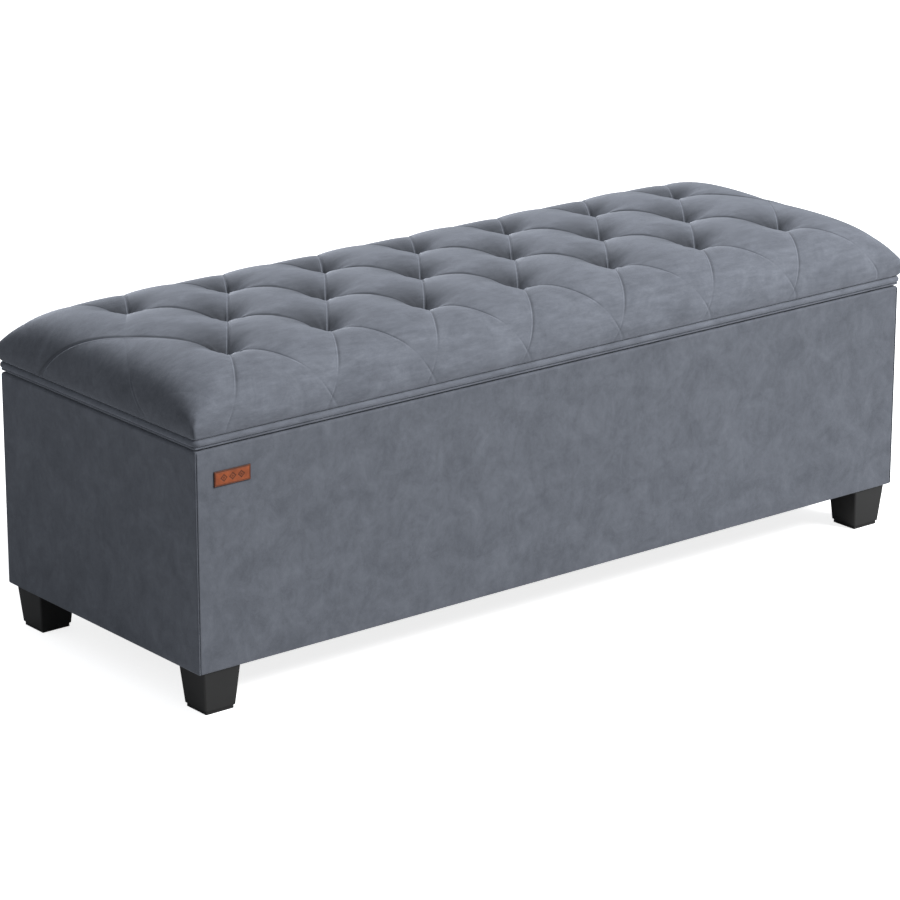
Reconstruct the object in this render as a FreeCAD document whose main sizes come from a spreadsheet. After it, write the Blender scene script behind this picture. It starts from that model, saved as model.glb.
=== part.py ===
import FreeCAD, Part
import os
import re

import Sketcher
from FreeCAD import Placement, Rotation, Vector

# Storage bench: an upholstered box on four feet, with a tufted lid that hinges at the back
# and is held up by a gas strut at each end.
# Millimetres. X runs along the bench, -Y is its front, +Z is up; the origin is on the floor
# under its centre.

CELLS = {
    # the upholstered box, measured over its cover
    "body_length": 1092,
    "body_depth": 396,
    "body_base": 54,
    "body_top": 319,
    # sheet goods
    "fabric": 2,
    "board": 15,
    "floor_board": 12,
    "lid_board": 12,
    "liner": 1,
    "turn_in": 25,
    "hem": 30,
    # the lid: gap, wrapped edge, welt and cushion
    "lid_gap": 2,
    "lip": 3,
    "lid_inset": 6,
    "welt_reach": 3,
    "welt_radius": 4,
    "crown_length": 1102,
    "crown_depth": 406,
    "crown_top": 409,
    "crown_radius": 55,
    "crown_tuck": 6,
    # tufting: three rows, the middle one shifted by half a pitch
    "tuft_pitch": 143.5,
    "tuft_row": 99.3,
    "tuft_depth": 22,
    "tuft_mouth": 28,
    "tuft_slope": 48,
    "tie_radius": 1,
    "tie_hole": 1.5,
    "toggle_radius": 7,
    "toggle_height": 2.5,
    "toggle_sink": 3,
    # feet
    "foot_inset_x": 34.5,
    "foot_inset_y": 29,
    "foot_head": 51,
    "foot_tip": 42,
    "foot_round": 2,
    "glide": 38,
    "glide_height": 5,
    "stud_radius": 4,
    "stud_sink": 20,
    "stud_reach": 32,
    "insert_radius": 5.5,
    "insert_length": 16,
    "block": 40,
    "block_height": 50,
    # corner brackets and screws
    "bracket_leg": 38,
    "bracket_height": 30,
    "bracket_gauge": 2,
    "bracket_base": 215,
    "bracket_screw": 24,
    "bracket_screw_drop": 7,
    "screw_radius": 2,
    "screw_length": 11,
    "screw_head": 3.8,
    "screw_head_height": 1.5,
    "long_screw_radius": 2.5,
    "long_screw_length": 45,
    "long_screw_head": 4.5,
    "long_screw_head_height": 3,
    "long_screw_pitch": 240,
    "long_screw_side": 100,
    # hinges
    "hinge_place": 330,
    "leaf_width": 60,
    "leaf_gauge": 1.5,
    "leaf_drop": 21,
    "leaf_reach": 48,
    "leaf_screw_pitch": 20,
    "leaf_screw_drop": 16,
    "leaf_screw_reach": 33,
    "barrel_radius": 3.5,
    "pin_radius": 1.5,
    "pin_play": 0.1,
    "knuckle": 20,
    "knuckle_play": 0.3,
    "barrel_room": 0.3,
    "notch_room": 0.5,
    # gas struts: both pivots are strut_arm from the hinge pin, strut_spread apart when shut
    "strut_place": 505,
    "strut_arm": 170,
    "strut_spread": 70,
    "strut_drop": 4.05,
    "strut_eye": 7,
    "strut_eye_width": 8,
    "strut_neck": 3.4,
    "tube_radius": 7.5,
    "tube_bore": 6.3,
    "tube_start": 12,
    "tube_end": 178,
    "tube_cap": 2,
    "guide_length": 10,
    "guide_bore": 3.3,
    "rod_radius": 3,
    "rod_reach": 177,
    "piston_radius": 6,
    "piston_length": 8,
    "pivot_radius": 4,
    "pivot_play": 0.1,
    "pivot_side_play": 0.5,
    "pivot_head": 5.5,
    "pivot_head_height": 1.5,
    "collar_radius": 6.5,
    "plate_gauge": 2,
    "plate_width": 24,
    "plate_height": 52,
    "plate_screw": 19,
    "tab_width": 18,
    "tab_drop": 8,
    "flange_length": 30,
    "flange_screw": 22,
    "flange_screw_side": 7,
    # small pieces
    "bumper_radius": 5,
    "bumper_height": 1.7,
    "bumper_place": 500,
    "bumper_inset": 8.5,
    "tag_length": 50,
    "tag_height": 18,
    "tag_gauge": 1.4,
    "tag_corner": 1.5,
    "tag_left": 25,
    "tag_drop": 28,
}

# Formulas for levels and faces that many pieces share. Every word is the alias of a cell.
END = "(body_length / 2)"
SIDE = "(body_depth / 2)"
PANEL_X = "(body_length / 2 - fabric)"
PANEL_Y = "(body_depth / 2 - fabric)"
WALL_X = "(body_length / 2 - fabric - board)"
WALL_Y = "(body_depth / 2 - fabric - board)"
LINED_X = "(body_length / 2 - fabric - board - liner)"
LINED_Y = "(body_depth / 2 - fabric - board - liner)"
UNDERSIDE = "(body_base + fabric)"
INSIDE_FLOOR = "(body_base + fabric + floor_board)"
LINED_FLOOR = "(body_base + fabric + floor_board + liner)"
PANEL_TOP = "(body_top - fabric)"
LINER_TOP = "(body_top - turn_in)"
LID_BASE = "(body_top + lid_gap)"
LID_PANEL_BASE = "(body_top + lid_gap + liner)"
LID_PANEL_TOP = "(body_top + lid_gap + liner + lid_board)"
LID_X = "(body_length / 2 - lid_inset)"
LID_Y = "(body_depth / 2 - lid_inset)"
WELT_BASE = "(body_top + lid_gap + lip)"
CROWN_BASE = "(body_top + lid_gap + lip + 2 * welt_radius)"
HINGE_Z = "(body_top + lid_gap / 2)"
FOOT_X = "(body_length / 2 - foot_inset_x)"
FOOT_Y = "(body_depth / 2 - foot_inset_y)"
LID_PIVOT_Y = "(body_depth / 2 - strut_arm * cos(strut_drop))"
LID_PIVOT_Z = "(body_top + lid_gap / 2 - strut_arm * sin(strut_drop))"
BOX_PIVOT_Y = "(body_depth / 2 - strut_arm * cos(strut_drop + strut_spread))"
BOX_PIVOT_Z = "(body_top + lid_gap / 2 - strut_arm * sin(strut_drop + strut_spread))"

ENDS = {"left": -1, "right": 1}
FACES = {"front": -1, "back": 1}
UP = Rotation()
DOWN = Rotation(Vector(1, 0, 0), 180)
TURN = {
    "+x": Rotation(Vector(0, 1, 0), 90),
    "-x": Rotation(Vector(0, 1, 0), -90),
    "+y": Rotation(Vector(1, 0, 0), -90),
    "-y": Rotation(Vector(1, 0, 0), 90),
}

doc = FreeCAD.newDocument("storage_bench")
dims = doc.addObject("Spreadsheet::Sheet", "dims")
for row, (alias, size) in enumerate(CELLS.items(), start=1):
    dims.set(f"A{row}", alias)
    dims.set(f"B{row}", str(size))
    dims.setAlias(f"B{row}", alias)
reading = doc.addObject("App::FeaturePython", "reading")
reading.addProperty("App::PropertyFloat", "number")
doc.recompute()

parts = []


def formula(text):
    """The text as a document expression: each cell's alias gets the sheet's name."""
    return re.sub(r"[a-z_]+", lambda m: "dims." + m[0] if m[0] in CELLS else m[0], str(text))


def bind(thing, path, text):
    thing.setExpression(path, formula(text))


def number(text):
    """What a formula comes to now, for a sketch's first guess."""
    bind(reading, "number", text)
    reading.recompute()
    return reading.number


def place(thing, spot, path="Placement"):
    for axis, text in zip("xyz", spot):
        bind(thing, f"{path}.Base.{axis}", text)


def keep(thing, label):
    """Names a finished piece, which is then written to its own file."""
    thing.Label = label
    parts.append(thing)
    return thing


# ---------------------------------------------------------------- primitives and booleans


def block(name, length, width, height, low):
    """A rectangular piece, from its three sizes and its lowest corner."""
    piece = doc.addObject("Part::Box", name)
    bind(piece, "Length", length)
    bind(piece, "Width", width)
    bind(piece, "Height", height)
    place(piece, low)
    return piece


def round_bar(name, radius, height, spot=(0, 0, 0), turn=UP):
    piece = doc.addObject("Part::Cylinder", name)
    bind(piece, "Radius", radius)
    bind(piece, "Height", height)
    piece.Placement = Placement(Vector(), turn)
    place(piece, spot)
    return piece


def fused(name, *pieces):
    piece = doc.addObject("Part::MultiFuse", name)
    piece.Shapes = list(pieces)
    return piece


def cut(name, base, *tools):
    """The base with each tool taken out of it in turn."""
    for count, tool in enumerate(tools, start=1):
        last = count == len(tools)
        piece = doc.addObject("Part::Cut", name if last else f"{name}_cut_{count}")
        piece.Base = base
        piece.Tool = tool
        base = piece
    return base


def copies(name, master, spots):
    """One compound of the same piece at many spots; each spot is (x, y, z, turn)."""
    links = []
    for count, (x, y, z, turn) in enumerate(spots, start=1):
        link = doc.addObject("App::Link", f"{name}_{count}")
        link.LinkedObject = master
        link.LinkTransform = True
        link.LinkPlacement = Placement(Vector(), turn)
        place(link, (x, y, z), "LinkPlacement")
        links.append(link)
    group = doc.addObject("Part::Compound", name)
    group.Links = links
    return group


# ---------------------------------------------------------------- sketches and bodies


def new_body(name):
    return doc.addObject("PartDesign::Body", name)


def new_sketch(body, name, plane, lift=0):
    """A sketch on one of the body's own planes, lifted off it by a formula."""
    sketch = body.newObject("Sketcher::SketchObject", name)
    support = next(f for f in body.Origin.OriginFeatures if f.Role == plane)
    sketch.AttachmentSupport = [(support, "")]
    sketch.MapMode = "FlatFace"
    if lift:
        bind(sketch, "AttachmentOffset.Base.z", lift)
    return sketch


def fix(sketch, kind, index, point, text):
    """Holds one coordinate of a point to a formula."""
    row = sketch.addConstraint(Sketcher.Constraint(kind, -1, 1, index, point, number(text)))
    bind(sketch, f"Constraints[{row}]", text)


def polygon(sketch, corners):
    """A closed outline of straight lines; each corner is a pair of formulas."""
    spots = [Vector(number(u), number(v), 0) for u, v in corners]
    count = len(spots)
    first = sketch.GeometryCount
    for k in range(count):
        sketch.addGeometry(Part.LineSegment(spots[k], spots[(k + 1) % count]), False)
    for k in range(count):
        after = first + (k + 1) % count
        sketch.addConstraint(Sketcher.Constraint("Coincident", first + k, 2, after, 1))
    for k, (u, v) in enumerate(corners):
        fix(sketch, "DistanceX", first + k, 1, u)
        fix(sketch, "DistanceY", first + k, 1, v)


def rectangle(sketch, low, high):
    polygon(sketch, [low, (high[0], low[1]), high, (low[0], high[1])])


def centred(sketch, half_x, half_y):
    rectangle(sketch, (f"-{half_x}", f"-{half_y}"), (half_x, half_y))


def circle(sketch, u, v, radius):
    index = sketch.addGeometry(
        Part.Circle(Vector(number(u), number(v), 0), Vector(0, 0, 1), number(radius)), False
    )
    fix(sketch, "DistanceX", index, 3, u)
    fix(sketch, "DistanceY", index, 3, v)
    row = sketch.addConstraint(Sketcher.Constraint("Radius", index, number(radius)))
    bind(sketch, f"Constraints[{row}]", radius)


def finish(body, feature):
    body.Tip = feature
    doc.recompute()
    return feature


def pad(body, sketch, length, side="One side", slope=None):
    feature = body.newObject("PartDesign::Pad", sketch.Name + "_pad")
    feature.Profile = sketch
    feature.SideType = side
    bind(feature, "Length", length)
    if slope is not None:
        bind(feature, "TaperAngle", slope)
    return finish(body, feature)


def pocket(body, sketch, depth=None, side="One side", slope=None):
    """Cuts the sketch's outline away, through everything when no depth is given."""
    before = body.Shape.Volume
    feature = body.newObject("PartDesign::Pocket", sketch.Name + "_pocket")
    feature.Profile = sketch
    feature.SideType = side
    if depth is None:
        feature.Type = "ThroughAll"
    else:
        bind(feature, "Length", depth)
    if slope is not None:
        bind(feature, "TaperAngle", slope)
    finish(body, feature)
    if body.Shape.Volume > before - 0.01:
        raise RuntimeError(f"{feature.Name} cuts nothing")
    return feature


def revolve(body, sketch):
    feature = body.newObject("PartDesign::Revolution", sketch.Name + "_turned")
    feature.Profile = sketch
    feature.ReferenceAxis = (sketch, ["V_Axis"])
    feature.Angle = 360
    return finish(body, feature)


def round_edges(body, base, radius, chosen):
    """Rounds the edges of the body that the chosen test picks out by their bounding box."""
    names = [
        f"Edge{index}"
        for index, edge in enumerate(base.Shape.Edges, start=1)
        if chosen(edge.BoundBox)
    ]
    feature = body.newObject("PartDesign::Fillet", base.Name + "_round")
    feature.Base = (base, names)
    bind(feature, "Radius", radius)
    return finish(body, feature)


def upright(box):
    return box.ZLength > max(box.XLength, box.YLength)


# ---------------------------------------------------------------- fasteners


def screw_form(name, radius, length, head, head_height):
    """A screw that points down from the origin, with its head above it."""
    shank = round_bar(f"{name}_shank", radius, length, (0, 0, f"-({length})"))
    top = round_bar(f"{name}_head", head, head_height)
    return fused(name, shank, top)


def carcass_screws():
    """Long screws, up through the bottom panel into the foot of each wall panel."""
    form = screw_form(
        "long_screw",
        "long_screw_radius",
        "long_screw_length",
        "long_screw_head",
        "long_screw_head_height",
    )
    depth = f"{UNDERSIDE} + long_screw_head_height"
    wall_y = f"({WALL_Y} + board / 2)"
    wall_x = f"({WALL_X} + board / 2)"
    spots = []
    for sign in FACES.values():
        for step in (-2, -1, 0, 1, 2):
            spots.append((f"{step} * long_screw_pitch", f"{sign} * {wall_y}", depth, DOWN))
    for sign in ENDS.values():
        for step in (-1, 1):
            spots.append((f"{sign} * {wall_x}", f"{step} * long_screw_side", depth, DOWN))
    return keep(copies("carcass_screws", form, spots), "carcass_screws")


def bracket_screws(form):
    """Four screws in each corner bracket, two into each wall."""
    face_x = f"({LINED_X} - bracket_gauge)"
    face_y = f"({LINED_Y} - bracket_gauge)"
    levels = [
        "bracket_base + bracket_screw_drop",
        "bracket_base + bracket_height - bracket_screw_drop",
    ]
    spots = []
    for end in ENDS.values():
        for face in FACES.values():
            turn_x = TURN["-x"] if end > 0 else TURN["+x"]
            turn_y = TURN["-y"] if face > 0 else TURN["+y"]
            for level in levels:
                along = f"{face} * ({LINED_Y} - bracket_screw)"
                spots.append((f"{end} * {face_x}", along, level, turn_x))
                along = f"{end} * ({LINED_X} - bracket_screw)"
                spots.append((along, f"{face} * {face_y}", level, turn_y))
    return keep(copies("corner_bracket_screws", form, spots), "corner_bracket_screws")


def hinge_box_screws(form):
    spots = []
    for end in ENDS.values():
        for step in (-1, 0, 1):
            along = f"{end} * hinge_place + {step} * leaf_screw_pitch"
            level = f"{PANEL_TOP} - leaf_screw_drop"
            spots.append((along, f"{WALL_Y} - leaf_gauge", level, TURN["-y"]))
    return keep(copies("hinge_box_screws", form, spots), "hinge_box_screws")


def hinge_lid_screws(form):
    spots = []
    for end in ENDS.values():
        for step in (-1, 0, 1):
            along = f"{end} * hinge_place + {step} * leaf_screw_pitch"
            across = f"{SIDE} - leaf_screw_reach"
            spots.append((along, across, LID_PANEL_BASE, DOWN))
    return keep(copies("hinge_lid_screws", form, spots), "hinge_lid_screws")


def strut_box_screws(form):
    spots = []
    for end in ENDS.values():
        turn = TURN["-x"] if end > 0 else TURN["+x"]
        for step in (-1, 1):
            face = f"{end} * ({LINED_X} - plate_gauge)"
            level = f"{BOX_PIVOT_Z} + {step} * plate_screw"
            spots.append((face, BOX_PIVOT_Y, level, turn))
    return keep(copies("strut_box_screws", form, spots), "strut_box_screws")


def strut_lid_screws(form):
    spots = []
    for end in ENDS.values():
        for step in (-1, 1):
            along = f"{end} * (strut_place + strut_eye_width / 2 + plate_gauge - flange_screw)"
            across = f"{LID_PIVOT_Y} + {step} * flange_screw_side"
            spots.append((along, across, f"{LID_BASE} - plate_gauge", DOWN))
    return keep(copies("strut_lid_screws", form, spots), "strut_lid_screws")


# ---------------------------------------------------------------- feet


def corner_spots(x, y, z):
    """The same place in all four corners, named by corner."""
    return {
        f"{face}_{end}": (f"{ENDS[end]} * {x}", f"{FACES[face]} * {y}", z, UP)
        for face in FACES
        for end in ENDS
    }


def foot_form():
    """A square foot that tapers downwards, with its four upright edges eased."""
    body = new_body("foot_form")
    tip = new_sketch(body, "foot_tip_outline", "XY_Plane", "glide_height")
    centred(tip, "(foot_tip / 2)", "(foot_tip / 2)")
    height = "(body_base - glide_height)"
    flare = f"atan((foot_head - foot_tip) / 2 / {height})"
    block_feature = pad(body, tip, height, slope=flare)
    round_edges(body, block_feature, "foot_round", upright)
    return body


def glide_form():
    return block(
        "glide_form",
        "glide",
        "glide",
        "glide_height",
        ("-glide / 2", "-glide / 2", 0),
    )


def insert_form():
    """A threaded sleeve for the foot's stud."""
    body = new_body("insert_form")
    ring = new_sketch(body, "insert_ring", "XY_Plane", LINED_FLOOR)
    circle(ring, 0, 0, "insert_radius")
    circle(ring, 0, 0, "stud_radius")
    pad(body, ring, "insert_length")
    return body


def feet():
    corners = corner_spots(FOOT_X, FOOT_Y, 0)
    stud = round_bar(
        "stud_form",
        "stud_radius",
        "stud_sink + stud_reach",
        (0, 0, "body_base - stud_sink"),
    )
    studs = keep(copies("foot_studs", stud, corners.values()), "foot_studs")
    inserts = keep(copies("foot_inserts", insert_form(), corners.values()), "foot_inserts")
    keep(copies("foot_glides", glide_form(), corners.values()), "foot_glides")
    form = foot_form()
    for corner, spot in corners.items():
        blank = copies(f"foot_{corner}_blank", form, [spot])
        keep(cut(f"foot_{corner}", blank, studs), f"foot_{corner}")
    return studs, inserts


def corner_blocks(studs, inserts):
    """Wooden blocks inside the bottom corners, which carry the feet."""
    for face, y_sign in FACES.items():
        for end, x_sign in ENDS.items():
            low_x = LINED_X if x_sign < 0 else f"({LINED_X} - block)"
            low_y = LINED_Y if y_sign < 0 else f"({LINED_Y} - block)"
            name = f"corner_block_{face}_{end}"
            blank = block(
                f"{name}_blank",
                "block",
                "block",
                "block_height",
                (f"{x_sign} * {low_x}", f"{y_sign} * {low_y}", LINED_FLOOR),
            )
            keep(cut(name, blank, studs, inserts), name)


# ---------------------------------------------------------------- the box


def corner_brackets(screws):
    """Steel angles that tie the walls together in each corner."""
    body = new_body("bracket_form")
    outline = new_sketch(body, "bracket_outline", "XY_Plane")
    polygon(
        outline,
        [
            ("0", "0"),
            ("bracket_leg", "0"),
            ("bracket_leg", "bracket_gauge"),
            ("bracket_gauge", "bracket_gauge"),
            ("bracket_gauge", "bracket_leg"),
            ("0", "bracket_leg"),
        ],
    )
    pad(body, outline, "bracket_height")
    turns = {("front", "left"): 0, ("front", "right"): 90}
    turns.update({("back", "right"): 180, ("back", "left"): 270})
    spots = []
    for (face, end), angle in turns.items():
        x = f"{ENDS[end]} * {LINED_X}"
        y = f"{FACES[face]} * {LINED_Y}"
        spots.append((x, y, "bracket_base", Rotation(Vector(0, 0, 1), angle)))
    plain = copies("corner_brackets_plain", body, spots)
    return keep(cut("corner_brackets", plain, screws), "corner_brackets")


def panels(studs, long_screws, wall_screws, box_screws, plate_screws, leaves):
    for face, sign in FACES.items():
        low_y = f"-{PANEL_Y}" if sign < 0 else WALL_Y
        blank = block(
            f"{face}_panel_blank",
            f"2 * {PANEL_X}",
            "board",
            f"{PANEL_TOP} - {INSIDE_FLOOR}",
            (f"-{PANEL_X}", low_y, INSIDE_FLOOR),
        )
        tools = [long_screws, wall_screws]
        if face == "back":
            tools += [box_screws, *leaves]
        keep(cut(f"{face}_panel", blank, *tools), f"{face}_panel")
    for end, sign in ENDS.items():
        low_x = f"-{PANEL_X}" if sign < 0 else WALL_X
        blank = block(
            f"{end}_panel_blank",
            "board",
            f"2 * {WALL_Y}",
            f"{PANEL_TOP} - {INSIDE_FLOOR}",
            (low_x, f"-{WALL_Y}", INSIDE_FLOOR),
        )
        tools = [long_screws, wall_screws, plate_screws]
        keep(cut(f"{end}_panel", blank, *tools), f"{end}_panel")
    blank = block(
        "bottom_panel_blank",
        f"2 * {PANEL_X}",
        f"2 * {PANEL_Y}",
        "floor_board",
        (f"-{PANEL_X}", f"-{PANEL_Y}", UNDERSIDE),
    )
    keep(cut("bottom_panel", blank, long_screws, studs), "bottom_panel")


def wrap_outline(edge, sign):
    """The cover's section: hem under the box, outer face, over the panel and down inside."""
    steps = [
        ("0", "body_base"),
        ("hem", "body_base"),
        ("hem", UNDERSIDE),
        ("fabric", UNDERSIDE),
        ("fabric", PANEL_TOP),
        ("fabric + board", PANEL_TOP),
        ("fabric + board", LINER_TOP),
        ("2 * fabric + board", LINER_TOP),
        ("2 * fabric + board", "body_top"),
        ("0", "body_top"),
    ]
    return [(f"{sign} * ({edge} - ({inward}))", level) for inward, level in steps]


def mitre(body, name, long_face):
    """Cuts both ends of a cover along the diagonals of the box's corners."""
    sketch = new_sketch(body, name, "XY_Plane")
    for x_sign in ENDS.values():
        for y_sign in FACES.values():
            corner = (f"{x_sign} * {END}", f"{y_sign} * {SIDE}")
            deep = (f"{x_sign} * ({END} - hem)", f"{y_sign} * ({SIDE} - hem)")
            third = (corner[0], deep[1]) if long_face else (deep[0], corner[1])
            polygon(sketch, [corner, deep, third])
    pocket(body, sketch, side="Symmetric")


def covers(studs, notches):
    """Four velvet skins, one on each wall, that meet in a seam at each corner."""
    for face, sign in FACES.items():
        body = new_body(f"{face}_cover_form")
        outline = new_sketch(body, f"{face}_cover_outline", "YZ_Plane")
        polygon(outline, wrap_outline(SIDE, sign))
        pad(body, outline, "body_length", "Symmetric")
        mitre(body, f"{face}_cover_mitre", True)
        tools = [studs] if face == "front" else [studs, notches]
        keep(cut(f"{face}_cover", body, *tools), f"{face}_cover")
    for end, sign in ENDS.items():
        body = new_body(f"{end}_cover_form")
        outline = new_sketch(body, f"{end}_cover_outline", "XZ_Plane")
        polygon(outline, wrap_outline(END, sign))
        pad(body, outline, "body_depth", "Symmetric")
        mitre(body, f"{end}_cover_mitre", False)
        keep(cut(f"{end}_cover", body, studs), f"{end}_cover")


def liners(studs, wall_screws, plate_screws):
    """Thin lining on the inside of the box, and a dust cover under it."""
    height = f"{LINER_TOP} - {LINED_FLOOR}"
    for face, sign in FACES.items():
        low_y = f"-{WALL_Y}" if sign < 0 else LINED_Y
        blank = block(
            f"{face}_liner_blank",
            f"2 * {WALL_X}",
            "liner",
            height,
            (f"-{WALL_X}", low_y, LINED_FLOOR),
        )
        keep(cut(f"{face}_liner", blank, wall_screws), f"{face}_liner")
    for end, sign in ENDS.items():
        low_x = f"-{WALL_X}" if sign < 0 else LINED_X
        blank = block(
            f"{end}_liner_blank",
            "liner",
            f"2 * {LINED_Y}",
            height,
            (low_x, f"-{LINED_Y}", LINED_FLOOR),
        )
        keep(cut(f"{end}_liner", blank, wall_screws, plate_screws), f"{end}_liner")
    blank = block(
        "bottom_liner_blank",
        f"2 * {WALL_X}",
        f"2 * {WALL_Y}",
        "liner",
        (f"-{WALL_X}", f"-{WALL_Y}", INSIDE_FLOOR),
    )
    keep(cut("bottom_liner", blank, studs), "bottom_liner")
    blank = block(
        "dust_cover_blank",
        f"2 * ({END} - hem)",
        f"2 * ({SIDE} - hem)",
        "liner",
        (f"-({END} - hem)", f"-({SIDE} - hem)", f"{UNDERSIDE} - liner"),
    )
    keep(cut("dust_cover", blank, studs), "dust_cover")


def leather_tag():
    """A small tag sewn to the front face near its left top corner."""
    body = new_body("leather_tag")
    outline = new_sketch(body, "tag_outline", "XZ_Plane", SIDE)
    rectangle(
        outline,
        (f"-({END} - tag_left)", "body_top - tag_drop - tag_height"),
        (f"-({END} - tag_left - tag_length)", "body_top - tag_drop"),
    )
    plate = pad(body, outline, "tag_gauge")
    gauge = number("tag_gauge")
    round_edges(body, plate, "tag_corner", lambda b: abs(b.YLength - gauge) < 0.01)
    keep(body, "leather_tag")


# ---------------------------------------------------------------- hinges


def barrel(body, name, radius, width):
    sketch = new_sketch(body, name, "YZ_Plane")
    circle(sketch, SIDE, HINGE_Z, radius)
    return pad(body, sketch, width, "Symmetric")


def pin_hole(body, name, radius):
    sketch = new_sketch(body, name, "YZ_Plane")
    circle(sketch, SIDE, HINGE_Z, radius)
    pocket(body, sketch, side="Symmetric")


def box_leaf_form():
    """The fixed leaf: let in to the back panel's top, then down its inner face."""
    body = new_body("box_leaf_form")
    underside = f"({HINGE_Z} - barrel_radius)"
    outline = new_sketch(body, "box_leaf_outline", "YZ_Plane")
    polygon(
        outline,
        [
            (f"{WALL_Y} - leaf_gauge", f"{PANEL_TOP} - leaf_drop"),
            (WALL_Y, f"{PANEL_TOP} - leaf_drop"),
            (WALL_Y, underside),
            (SIDE, underside),
            (SIDE, f"{underside} + leaf_gauge"),
            (f"{WALL_Y} - leaf_gauge", f"{underside} + leaf_gauge"),
        ],
    )
    pad(body, outline, "leaf_width", "Symmetric")
    barrel(body, "box_leaf_barrel", "barrel_radius", "leaf_width")
    gap = new_sketch(body, "box_leaf_gap", "XY_Plane")
    half = "(knuckle / 2 + knuckle_play)"
    inner = f"{SIDE} - barrel_radius - barrel_room"
    rectangle(gap, (f"-{half}", inner), (half, f"{SIDE} + 2 * barrel_radius"))
    pocket(body, gap, side="Symmetric")
    pin_hole(body, "box_leaf_bore", "pin_radius")
    return body


def lid_leaf_form():
    """The moving leaf: let in to the underside of the lid panel."""
    body = new_body("lid_leaf_form")
    top = f"({HINGE_Z} + barrel_radius)"
    inner = f"{SIDE} - barrel_radius - barrel_room"
    half = "(leaf_width / 2)"
    narrow = "(knuckle / 2)"
    outline = new_sketch(body, "lid_leaf_outline", "XY_Plane", f"{top} - leaf_gauge")
    polygon(
        outline,
        [
            (f"-{half}", f"{SIDE} - leaf_reach"),
            (half, f"{SIDE} - leaf_reach"),
            (half, inner),
            (narrow, inner),
            (narrow, SIDE),
            (f"-{narrow}", SIDE),
            (f"-{narrow}", inner),
            (f"-{half}", inner),
        ],
    )
    pad(body, outline, "leaf_gauge")
    barrel(body, "lid_leaf_barrel", "barrel_radius", "knuckle")
    pin_hole(body, "lid_leaf_bore", "pin_radius + pin_play")
    return body


def hinges(box_screws, lid_screws):
    """Two butt hinges. Returns the leaves, which the panels are let in for."""
    box_form = box_leaf_form()
    lid_form = lid_leaf_form()
    pin_form = round_bar(
        "pin_form",
        "pin_radius",
        "leaf_width",
        ("-leaf_width / 2", SIDE, HINGE_Z),
        TURN["+x"],
    )
    box_leaves = []
    lid_leaves = []
    for end, sign in ENDS.items():
        spot = (f"{sign} * hinge_place", 0, 0, UP)
        blank = copies(f"hinge_{end}_box_leaf_blank", box_form, [spot])
        leaf = cut(f"hinge_{end}_box_leaf", blank, box_screws)
        box_leaves.append(keep(leaf, f"hinge_{end}_box_leaf"))
        blank = copies(f"hinge_{end}_lid_leaf_blank", lid_form, [spot])
        leaf = cut(f"hinge_{end}_lid_leaf", blank, lid_screws)
        lid_leaves.append(keep(leaf, f"hinge_{end}_lid_leaf"))
        keep(copies(f"hinge_{end}_pin", pin_form, [spot]), f"hinge_{end}_pin")
    return box_leaves, lid_leaves


def box_notches():
    """The space that each fixed leaf and its knuckles take out of the back cover."""
    half = "(leaf_width / 2 + notch_room)"
    top = "barrel_radius + notch_room"
    inner = block(
        "box_notch_inner",
        f"2 * {half}",
        "fabric",
        "turn_in + lid_gap",
        (f"-{half}", f"{WALL_Y} - fabric", LINER_TOP),
    )
    over = block(
        "box_notch_over",
        f"2 * {half}",
        f"{SIDE} - {WALL_Y} + fabric",
        f"2 * ({top})",
        (f"-{half}", WALL_Y, f"{HINGE_Z} - ({top})"),
    )
    form = fused("box_notch_form", inner, over)
    spots = [(f"{sign} * hinge_place", 0, 0, UP) for sign in ENDS.values()]
    return copies("box_notches", form, spots)


def lid_notches():
    """The space that each moving leaf takes out of the lid's lining and wrapped edge."""
    half = "(leaf_width / 2 + notch_room)"
    form = block(
        "lid_notch_form",
        f"2 * {half}",
        "leaf_reach + notch_room + fabric",
        "lid_gap / 2 + barrel_radius + notch_room",
        (f"-{half}", f"{SIDE} - leaf_reach - notch_room", HINGE_Z),
    )
    spots = [(f"{sign} * hinge_place", 0, 0, UP) for sign in ENDS.values()]
    return copies("lid_notches", form, spots)


# ---------------------------------------------------------------- gas struts


def strut_eye(body, name):
    eye = new_sketch(body, f"{name}_eye", "YZ_Plane")
    circle(eye, 0, 0, "strut_eye")
    pad(body, eye, "strut_eye_width", "Symmetric")
    bore = new_sketch(body, f"{name}_bore", "YZ_Plane")
    circle(bore, 0, 0, "pivot_radius + pivot_play")
    pocket(body, bore, side="Symmetric")


def lean(body, x, y, z):
    """Sets a strut's piece at its pivot, along the line between the two pivots."""
    body.Placement = Placement(Vector(), Rotation(Vector(1, 0, 0), 1))
    place(body, (x, y, z))
    bind(body, "Placement.Rotation.Angle", "strut_drop + strut_spread / 2")


def strut_cylinder(end, sign):
    """The tube, closed at its foot, with a guide for the rod at its mouth."""
    name = f"strut_{end}_cylinder"
    body = new_body(name)
    outline = new_sketch(body, f"{name}_outline", "XZ_Plane")
    polygon(
        outline,
        [
            ("0", "strut_neck"),
            ("strut_neck", "strut_neck"),
            ("strut_neck", "tube_start"),
            ("tube_radius", "tube_start"),
            ("tube_radius", "tube_end"),
            ("guide_bore", "tube_end"),
            ("guide_bore", "tube_end - guide_length"),
            ("tube_bore", "tube_end - guide_length"),
            ("tube_bore", "tube_start + tube_cap"),
            ("0", "tube_start + tube_cap"),
        ],
    )
    revolve(body, outline)
    strut_eye(body, name)
    lean(body, f"{sign} * strut_place", BOX_PIVOT_Y, BOX_PIVOT_Z)
    keep(body, name)


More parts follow.
